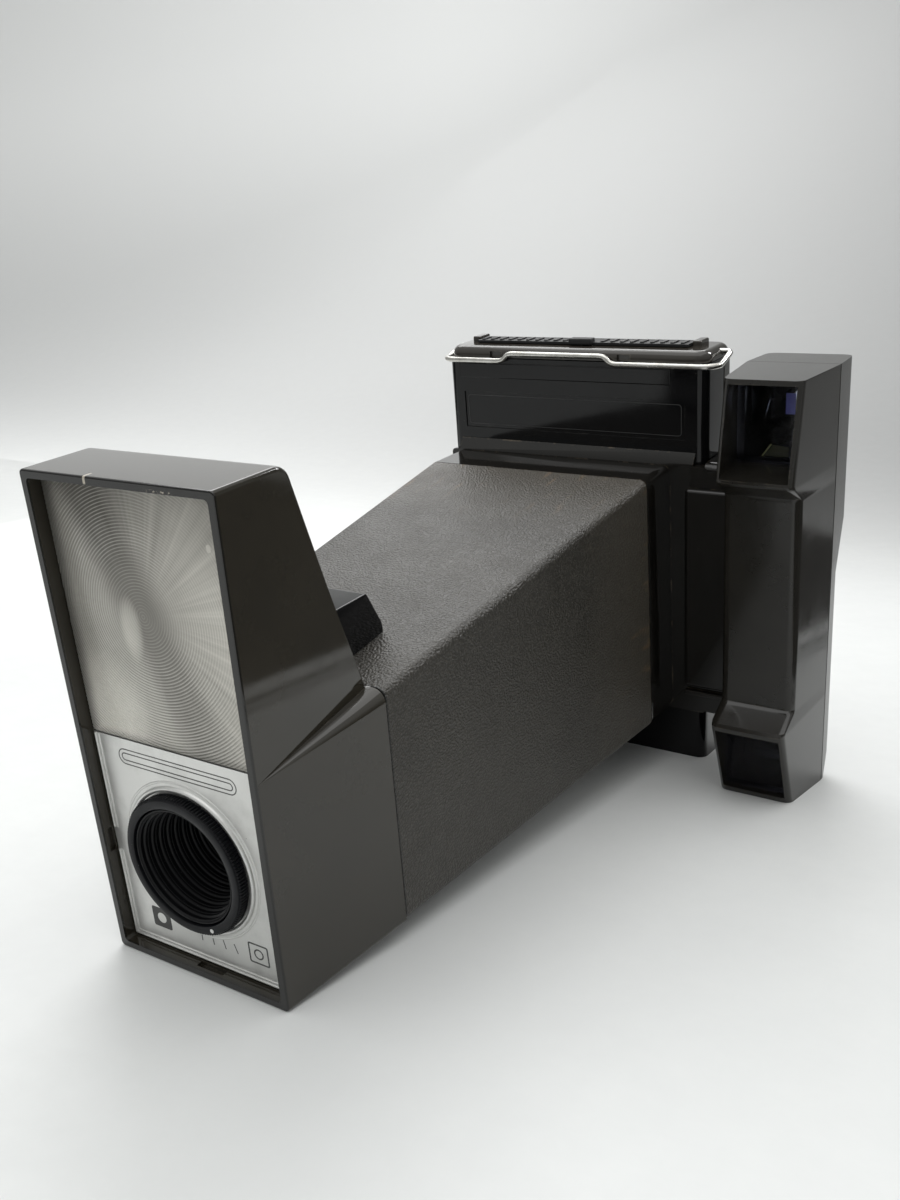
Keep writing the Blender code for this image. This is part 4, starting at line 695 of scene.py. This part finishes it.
def trim_to_opening(solid):
    """Cut a mesh to the four sides of the hood's opening."""
    low_left = Vector((-DIFFUSER_HALF_BOTTOM, 0, DIFFUSER_BOTTOM))
    high_left = Vector((-DIFFUSER_HALF_TOP, 0, DIFFUSER_TOP))
    left_out = Vector((-(high_left - low_left).z, 0, (high_left - low_left).x)).normalized()
    cuts = [
        (Vector((0, 0, DIFFUSER_TOP)), Vector((0, 0, 1))),
        (Vector((0, 0, DIFFUSER_BOTTOM)), Vector((0, 0, -1))),
        (low_left, left_out),
        (Vector((-low_left.x, 0, low_left.z)), Vector((-left_out.x, 0, left_out.z))),
    ]
    for place, outward in cuts:
        geometry = solid.verts[:] + solid.edges[:] + solid.faces[:]
        bmesh.ops.bisect_plane(solid, geom=geometry, dist=1e-5, plane_co=place, plane_no=outward,
                               clear_outer=True)


def plate_half(z):
    """Half width of the lens plate at a height."""
    return blend(PLATE_HALF_BOTTOM, PLATE_HALF_TOP, (z - PLATE_BOTTOM) / (PLATE_TOP - PLATE_BOTTOM))


def plate_edge(angle):
    """Point of the lens plate's outline seen at an angle from the lens axis."""
    dx, dz = math.cos(angle), math.sin(angle)
    reach = 1e9
    if dz:
        reach = min(reach, ((PLATE_TOP if dz > 0 else PLATE_BOTTOM) - AXIS_Z) / dz)
    side = 1.0 if dx > 0 else -1.0
    slope = (PLATE_HALF_TOP - PLATE_HALF_BOTTOM) / (PLATE_TOP - PLATE_BOTTOM)
    speed = dx * side - slope * dz
    if speed > 1e-9:
        reach = min(reach, plate_half(AXIS_Z) / speed)
    return dx * reach, AXIS_Z + dz * reach


def lens_plate():
    """Silver plate with a turned lip around the exposure ring."""
    corners = [(side * plate_half(z), z) for z in (PLATE_BOTTOM, PLATE_TOP) for side in (-1, 1)]
    angles = [2 * math.pi * step / 144 for step in range(144)]
    angles += [math.atan2(z - AXIS_Z, x) % (2 * math.pi) for x, z in corners]
    angles = sorted(set(round(angle, 5) for angle in angles))
    lip = [(26.15, PANEL_FACE), (26.35, 4.5), (26.7, 3.95), (27.15, 3.8), (27.6, 3.9),
           (27.95, 4.35), (28.15, 4.85), (28.5, PANEL_FACE)]
    bead = [(29.15, PANEL_FACE), (29.3, 4.8), (29.6, 4.7), (29.9, 4.8), (30.05, PANEL_FACE)]
    profile = [(23.9, PANEL_BACK), (23.9, 5.2), (24.1, PANEL_FACE)] + lip + bead
    rows = [[(r * math.cos(a), y, AXIS_Z + r * math.sin(a)) for a in angles] for r, y in profile]
    edge = [plate_edge(a) for a in angles]
    rows.append([(x, PANEL_FACE, z) for x, z in edge])
    rows.append([(x, PANEL_BACK, z) for x, z in edge])
    solid = bmesh.new()
    skin(solid, rows, True)
    add_piece("lens_plate", solid, "camera_body", SILVER, ("faceplate",), 40.0)


def ridge(solid, start, end, width, height):
    """Low rounded strip on the plate between two (x, z) points."""
    a, b = Vector(start), Vector(end)
    along = (b - a).normalized()
    side = Vector((-along.y, along.x)) * (width / 2)
    section = [(-1.0, 0.06), (-0.8, -height * 0.75), (-0.35, -height), (0.35, -height),
               (0.8, -height * 0.75), (1.0, 0.06)]
    rows = []
    for point in (a, b):
        rows.append([(point.x + side.x * s, PANEL_FACE + y, point.y + side.y * s)
                     for s, y in section])
    capped(solid, rows)


def plate_trim():
    """Pale double bead along both sides and the bottom of the lens plate."""
    solid = bmesh.new()
    for inset, width, height in ((0.75, 0.95, 0.55), (2.15, 0.7, 0.35)):
        low = PLATE_BOTTOM + inset
        for side in (-1, 1):
            top = PLATE_TOP - 0.2
            spans = ((low, 39.0), (48.0, top)) if side < 0 else ((low, top),)
            for start, end in spans:
                ridge(solid, (side * (plate_half(start) - inset), start),
                      (side * (plate_half(end) - inset), end), width, height)
        half = plate_half(low) - inset
        ridge(solid, (-half, low), (half, low), width, height)
    add_piece("plate_trim", solid, "camera_body", SILVER, (), 50.0)


def plate_print():
    """Generic printed marks: dark and open squares, a scale and a plain double line."""
    solid = bmesh.new()

    def line(outer, inner):
        frame_strip(outer, inner, PRINT_FRONT, PRINT_BACK, solid)

    line(rounded(-25.0, -16.2, 10.4, 18.6, 0.8), circle((-20.6, 14.5), 2.1))
    line(rounded(20.2, 29.0, 10.6, 18.8, 0.8), rounded(20.8, 28.4, 11.2, 18.2, 0.5))
    line(circle((24.6, 14.7), 2.1), circle((24.6, 14.7), 2.1 * 0.74))
    low, high = 11.6, 15.2
    for x, tilt in ((-1.5, 0.0), (3.6, 0.10), (8.6, 0.22), (13.6, 0.34)):
        lean = (high - low) * tilt
        prism([(x - 0.2 + lean, low), (x + 0.2 + lean, low), (x + 0.2, high), (x - 0.2, high)],
              PRINT_FRONT, PRINT_BACK, solid)
    for inset in (0.0, 1.5):
        line(rounded(-26.5 + inset, 26.5 - inset, 75.4 + inset, 81.4 - inset, 3.0 - inset),
             rounded(-26.1 + inset, 26.1 - inset, 75.8 + inset, 81.0 - inset, 2.6 - inset))
    add_piece("plate_print", solid, "camera_body", PRINT, (), 30.0)


PRINT = satin_black("printed_grey", (0.045, 0.045, 0.044), 0.5)
diffuser_panel()
lens_plate()
plate_trim()
plate_print()


# ---------------------------------------------------------------- lens

def grip_ring():
    """Exposure ring with a fine knurl around its rim."""
    teeth = 132
    depths = (0.0, 0.0, 0.5, 0.5)
    knurled = {8, 9, 10, 11}
    profile = [(22.0, 8.0), (22.0, 0.45), (22.1, 0.15), (22.4, 0.0), (24.5, 0.0), (24.9, 0.08),
               (25.1, 0.3), (25.15, 0.55), (25.75, 0.9), (25.8, 1.1), (25.8, 3.9), (25.7, 4.15),
               (25.3, 4.6), (23.4, 4.6), (23.4, 8.0)]

    def tooth(index, step):
        return depths[step % len(depths)] if index in knurled else 0.0

    solid = lathe(profile, teeth * len(depths), tooth=tooth)
    add_piece("grip_ring", solid, "exposure_ring_body", RING_BLACK,
              ("exposure_ring",), 34.0)


def ribbed_tunnel():
    """Stepped tunnel that narrows towards the lens."""
    ribs = 14
    pitch = 2.85
    start = 1.5
    inside = [(20.85, 0.8), (20.6, 1.3)]
    for index in range(ribs):
        y = start + index * pitch
        radius = blend(19.5, 9.3, index / (ribs - 1))
        deep = radius + 0.75
        inside += [(deep, y + 0.1), (deep, y + 1.35), (radius + 0.4, y + 1.55),
                   (radius + 0.12, y + 1.7), (radius, y + 1.95), (radius, y + 2.6),
                   (radius + 0.15, y + pitch - 0.05)]
    inside.append((8.0, 42.2))
    outside = [(8.0, 45.4), (9.1, 45.6), (9.1, 51.0), (11.6, 51.0), (11.6, 44.0), (21.4, 10.6),
               (28.4, 10.6), (28.4, 8.5), (21.6, 8.5), (21.6, 1.1), (21.3, 0.8)]
    solid = lathe(outside + inside, 96)
    add_piece("ribbed_tunnel", solid, "camera_body", TUNNEL_BLACK, ("lens_hood",),
              32.0)


def front_lens():
    """Meniscus lens with ground spherical faces."""
    radius = 8.7
    shares = (0.15, 0.3, 0.45, 0.6, 0.75, 0.9, 1.0)
    front = [(radius * share, 46.0 + 0.95 * share ** 2) for share in shares]
    back = [(radius * share, 49.2 - 0.9 * share ** 2) for share in reversed(shares)]
    solid = lathe(front + back, 64, closed=False)
    add_piece("front_lens", solid, "camera_body", LENS_GLASS, ("lens",), 40.0)


RING_BLACK = satin_black("ring_black", (0.0030, 0.0032, 0.0042), 0.34, 2200.0, 0.00002, 1.27)
TUNNEL_BLACK = satin_black("tunnel_black", (0.0012, 0.0012, 0.0018), 0.44, 1200.0, 0.00002, 1.30)
grip_ring()
ribbed_tunnel()
front_lens()


# ---------------------------------------------------------------- film box and column fittings

def smooth_path(points, parts=5):
    """Points of a smooth line through the given points."""
    line = [Vector(point) for point in points]
    padded = [line[0] * 2 - line[1]] + line + [line[-1] * 2 - line[-2]]
    made = []
    for a, b, c, d in zip(padded, padded[1:], padded[2:], padded[3:]):
        for step in range(parts):
            t = step / parts
            made.append(0.5 * (2 * b + (c - a) * t + (2 * a - 5 * b + 4 * c - d) * t * t
                               + (3 * b - a - 3 * c + d) * t ** 3))
    made.append(line[-1])
    return made


def tube(points, radius, sides=14):
    """Round wire along a line of points."""
    solid = bmesh.new()
    across = (points[1] - points[0]).orthogonal().normalized()
    rows = []
    for index, point in enumerate(points):
        ahead = points[min(index + 1, len(points) - 1)] - points[max(index - 1, 0)]
        ahead.normalize()
        across = (across - ahead * across.dot(ahead)).normalized()
        side = ahead.cross(across)
        turn = [2 * math.pi * step / sides for step in range(sides)]
        rows.append([point + (across * math.cos(a) + side * math.sin(a)) * radius for a in turn])
    return capped(solid, rows)


def arc(centre, radius, start, steps=8):
    """Quarter turn in plan, from the start angle on."""
    angles = [math.radians(start + 90.0 * step / steps) for step in range(steps + 1)]
    return [(centre[0] + radius * math.cos(a), centre[1] + radius * math.sin(a)) for a in angles]


def bail_wire():
    """Chrome wire bail with round bends and a lifted middle."""
    left, right, front, height, bend = -65.25, 78.6, 277.2, 160.6, 7.0
    pivot_y, pivot_z = 298.0, 164.2
    start = smooth_path([(-59.4, pivot_y, pivot_z), (-63.2, pivot_y, pivot_z),
                         (-65.0, pivot_y - 1.2, pivot_z - 0.25),
                         (left, pivot_y - 4.0, pivot_z - 0.9)])
    end = smooth_path([(right, pivot_y - 4.0, pivot_z - 0.9), (78.2, pivot_y - 1.2, pivot_z - 0.25),
                       (76.4, pivot_y, pivot_z), (70.6, pivot_y, pivot_z)])
    left_arc = [Vector((x, y, height)) for x, y in arc((left + bend, front + bend), bend, 180.0)]
    right_arc = [Vector((x, y, height)) for x, y in arc((right - bend, front + bend), bend, 270.0)]
    rise = [(-36.0, 0.0), (-32.0, 0.05), (-29.5, 0.8), (-27.4, 2.7), (-24.8, 3.45), (-20.0, 3.5)]
    fall = [(18.0, 3.5), (22.6, 3.45), (25.2, 2.7), (27.4, 0.8), (30.0, 0.05), (34.0, 0.0)]
    middle = smooth_path([(x, front, height + lift) for x, lift in rise])
    middle += smooth_path([(x, front, height + lift) for x, lift in fall])
    points = start + left_arc + middle + right_arc + end
    add_piece("bail_wire", tube(points, 1.3), "bail_body", CHROME, ("bail_latch",), 60.0)


def label_line():
    """Plain outline in the chamber's label recess."""
    solid = frame_strip(rounded(-52.6, 61.9, 128.1, 142.9, 1.6),
                        rounded(-52.3, 61.6, 128.4, 142.6, 1.3), LABEL_FRONT, LABEL_BACK)
    add_piece("label_line", solid, "camera_body", LABEL_GREY, (), 30.0)


def finder_masks():
    """Coated bright-frame masks that glint behind the upper finder window."""
    violet = prism([(115.6, 145.4), (119.6, 145.4), (119.6, 154.2), (115.6, 154.2)],
                   261.4, MASK_BACK)
    add_piece("finder_mask_violet", violet, "camera_body", VIOLET_COAT)
    olive = prism([(106.4, 126.7), (117.4, 126.7), (117.3, 131.2), (110.2, 131.8)],
                  261.6, MASK_BACK)
    add_piece("finder_mask_plate", olive, "camera_body", OLIVE_COAT)
    bright = prism([(105.4, 126.0), (117.4, 126.0), (117.4, 126.55), (105.8, 126.55)],
                   261.3, MASK_BACK)
    prism([(105.6, 126.7), (106.2, 126.7), (110.0, 131.9), (109.4, 132.2)], 261.3, MASK_BACK,
          bright)
    add_piece("finder_mask_lines", bright, "camera_body", YELLOW_COAT)


LABEL_GREY = satin_black("label_grey", (0.022, 0.022, 0.022), 0.45)
VIOLET_COAT = satin_black("violet_coating", (0.34, 0.34, 0.80), 0.2)
OLIVE_COAT = satin_black("olive_coating", (0.075, 0.073, 0.022), 0.25)
YELLOW_COAT = satin_black("yellow_coating", (0.50, 0.48, 0.16), 0.3)
bail_wire()
label_line()
finder_masks()


# ---------------------------------------------------------------- stage

def sweep(width=3.4, front=-2.4, bend=0.65, radius=1.35, height=2.4):
    """Pale floor that curves up into the backdrop."""
    solid = bmesh.new()
    line = [(front, 0.0), (front / 2, 0.0), (0.0, 0.0), (bend / 2, 0.0)]
    for step in range(25):
        angle = math.radians(90.0 * step / 24)
        line.append((bend + radius * math.sin(angle), radius * (1 - math.cos(angle))))
    line.append((bend + radius, height))
    columns = [-width, -width / 2, 0.0, width / 2, width]
    grid = [[solid.verts.new((x, y, z)) for x in columns] for y, z in line]
    for first, second in zip(grid, grid[1:]):
        for index in range(len(columns) - 1):
            solid.faces.new((first[index], first[index + 1], second[index + 1], second[index]))
    mesh = bpy.data.meshes.new("sweep")
    solid.to_mesh(mesh)
    solid.free()
    mesh.shade_smooth()
    mesh.materials.append(sweep_paint())
    made = bpy.data.objects.new("sweep", mesh)
    bpy.context.scene.collection.objects.link(made)


def area_light(name, place, target, size, power):
    """Soft rectangular light aimed at a point."""
    data = bpy.data.lights.new(name, "AREA")
    data.shape = "RECTANGLE"
    data.size, data.size_y = size
    data.energy = power
    light = bpy.data.objects.new(name, data)
    bpy.context.scene.collection.objects.link(light)
    light.location = place
    light.rotation_euler = (Vector(target) - Vector(place)).to_track_quat("-Z", "Y").to_euler()
    light.visible_camera = False
    return light


def flag(name, x_range, y_range, z=0.0006):
    """Black card just over the floor that only reflections see, as a dark room around it."""
    solid = bmesh.new()
    corners = [(x_range[0], y_range[0]), (x_range[1], y_range[0]), (x_range[1], y_range[1]),
               (x_range[0], y_range[1])]
    solid.faces.new([solid.verts.new((x, y, z)) for x, y in corners])
    mesh = bpy.data.meshes.new(name)
    solid.to_mesh(mesh)
    solid.free()
    mesh.materials.append(BLACK_DULL)
    card = bpy.data.objects.new(name, mesh)
    bpy.context.scene.collection.objects.link(card)
    card.visible_camera = card.visible_diffuse = card.visible_shadow = False
    card.visible_transmission = False


def world_light():
    """Soft pale light from all round, brighter overhead."""
    world = bpy.data.worlds.new("studio")
    bpy.context.scene.world = world
    world.use_nodes = True
    nodes, link = world.node_tree.nodes, world.node_tree.links.new
    split = nodes.new("ShaderNodeSeparateXYZ")
    link(nodes.new("ShaderNodeTexCoord").outputs["Generated"], split.inputs["Vector"])
    rise = nodes.new("ShaderNodeMapRange")
    limits = {"From Min": 0.05, "From Max": 0.75, "To Min": WORLD_LOW, "To Max": WORLD_HIGH}
    for socket, value in limits.items():
        rise.inputs[socket].default_value = value
    link(split.outputs["Z"], rise.inputs["Value"])
    background = nodes["Background"]
    background.inputs["Color"].default_value = (0.985, 1.0, 0.99, 1.0)
    link(rise.outputs["Result"], background.inputs["Strength"])


def studio():
    """World light, softboxes, two cards that only reflections see, and the dark surroundings."""
    world_light()
    area_light("back_softbox", (-0.75, 1.0, 1.3), (0.0, 0.05, 0.1), (1.3, 0.7), BACK_POWER)
    area_light("wall_light", (-1.1, 0.5, 1.9), (-1.2, 1.8, 0.8), (1.6, 0.4), WALL_POWER)
    area_light("top_softbox", (0.0, -0.15, 1.5), (0.0, 0.0, 0.1), (1.7, 1.7), TOP_POWER)
    edge = area_light("edge_light", (0.59, 1.01, 1.09), (0.03, -0.05, 0.1), (0.3, 0.35),
                      EDGE_POWER)
    card = area_light("glow_card", (-1.25, 1.35, 0.72), (0.0, 0.0, 0.1), (1.3, 0.55), GLOW_POWER)
    edge.visible_diffuse = card.visible_diffuse = False
    for name, x_range, y_range in FLAGS:
        flag(name, x_range, y_range)
    bpy.context.scene.view_settings.view_transform = "Standard"


def view_camera():
    """Camera in front of the object, above it and to its side."""
    azimuth, elevation, roll = (math.radians(v) for v in (VIEW_AZIMUTH, VIEW_ELEVATION, VIEW_ROLL))
    ahead = Vector((-math.sin(azimuth) * math.cos(elevation),
                    math.cos(azimuth) * math.cos(elevation), -math.sin(elevation)))
    right = ahead.cross(Vector((0, 0, 1))).normalized()
    down = ahead.cross(right)
    across = right * math.cos(roll) + down * math.sin(roll)
    under = down * math.cos(roll) - right * math.sin(roll)
    attitude = TURN @ Matrix((across, -under, -ahead)).transposed()
    data = bpy.data.cameras.new("view_camera")
    data.lens = VIEW_LENS
    data.shift_x, data.shift_y = VIEW_SHIFT
    data.clip_start, data.clip_end = 0.01, 20.0
    camera = bpy.data.objects.new("view_camera", data)
    bpy.context.scene.collection.objects.link(camera)
    camera.matrix_world = Matrix.Translation(own(*VIEW_PLACE)) @ attitude.to_4x4()
    bpy.context.scene.camera = camera


sweep()
studio()
view_camera()
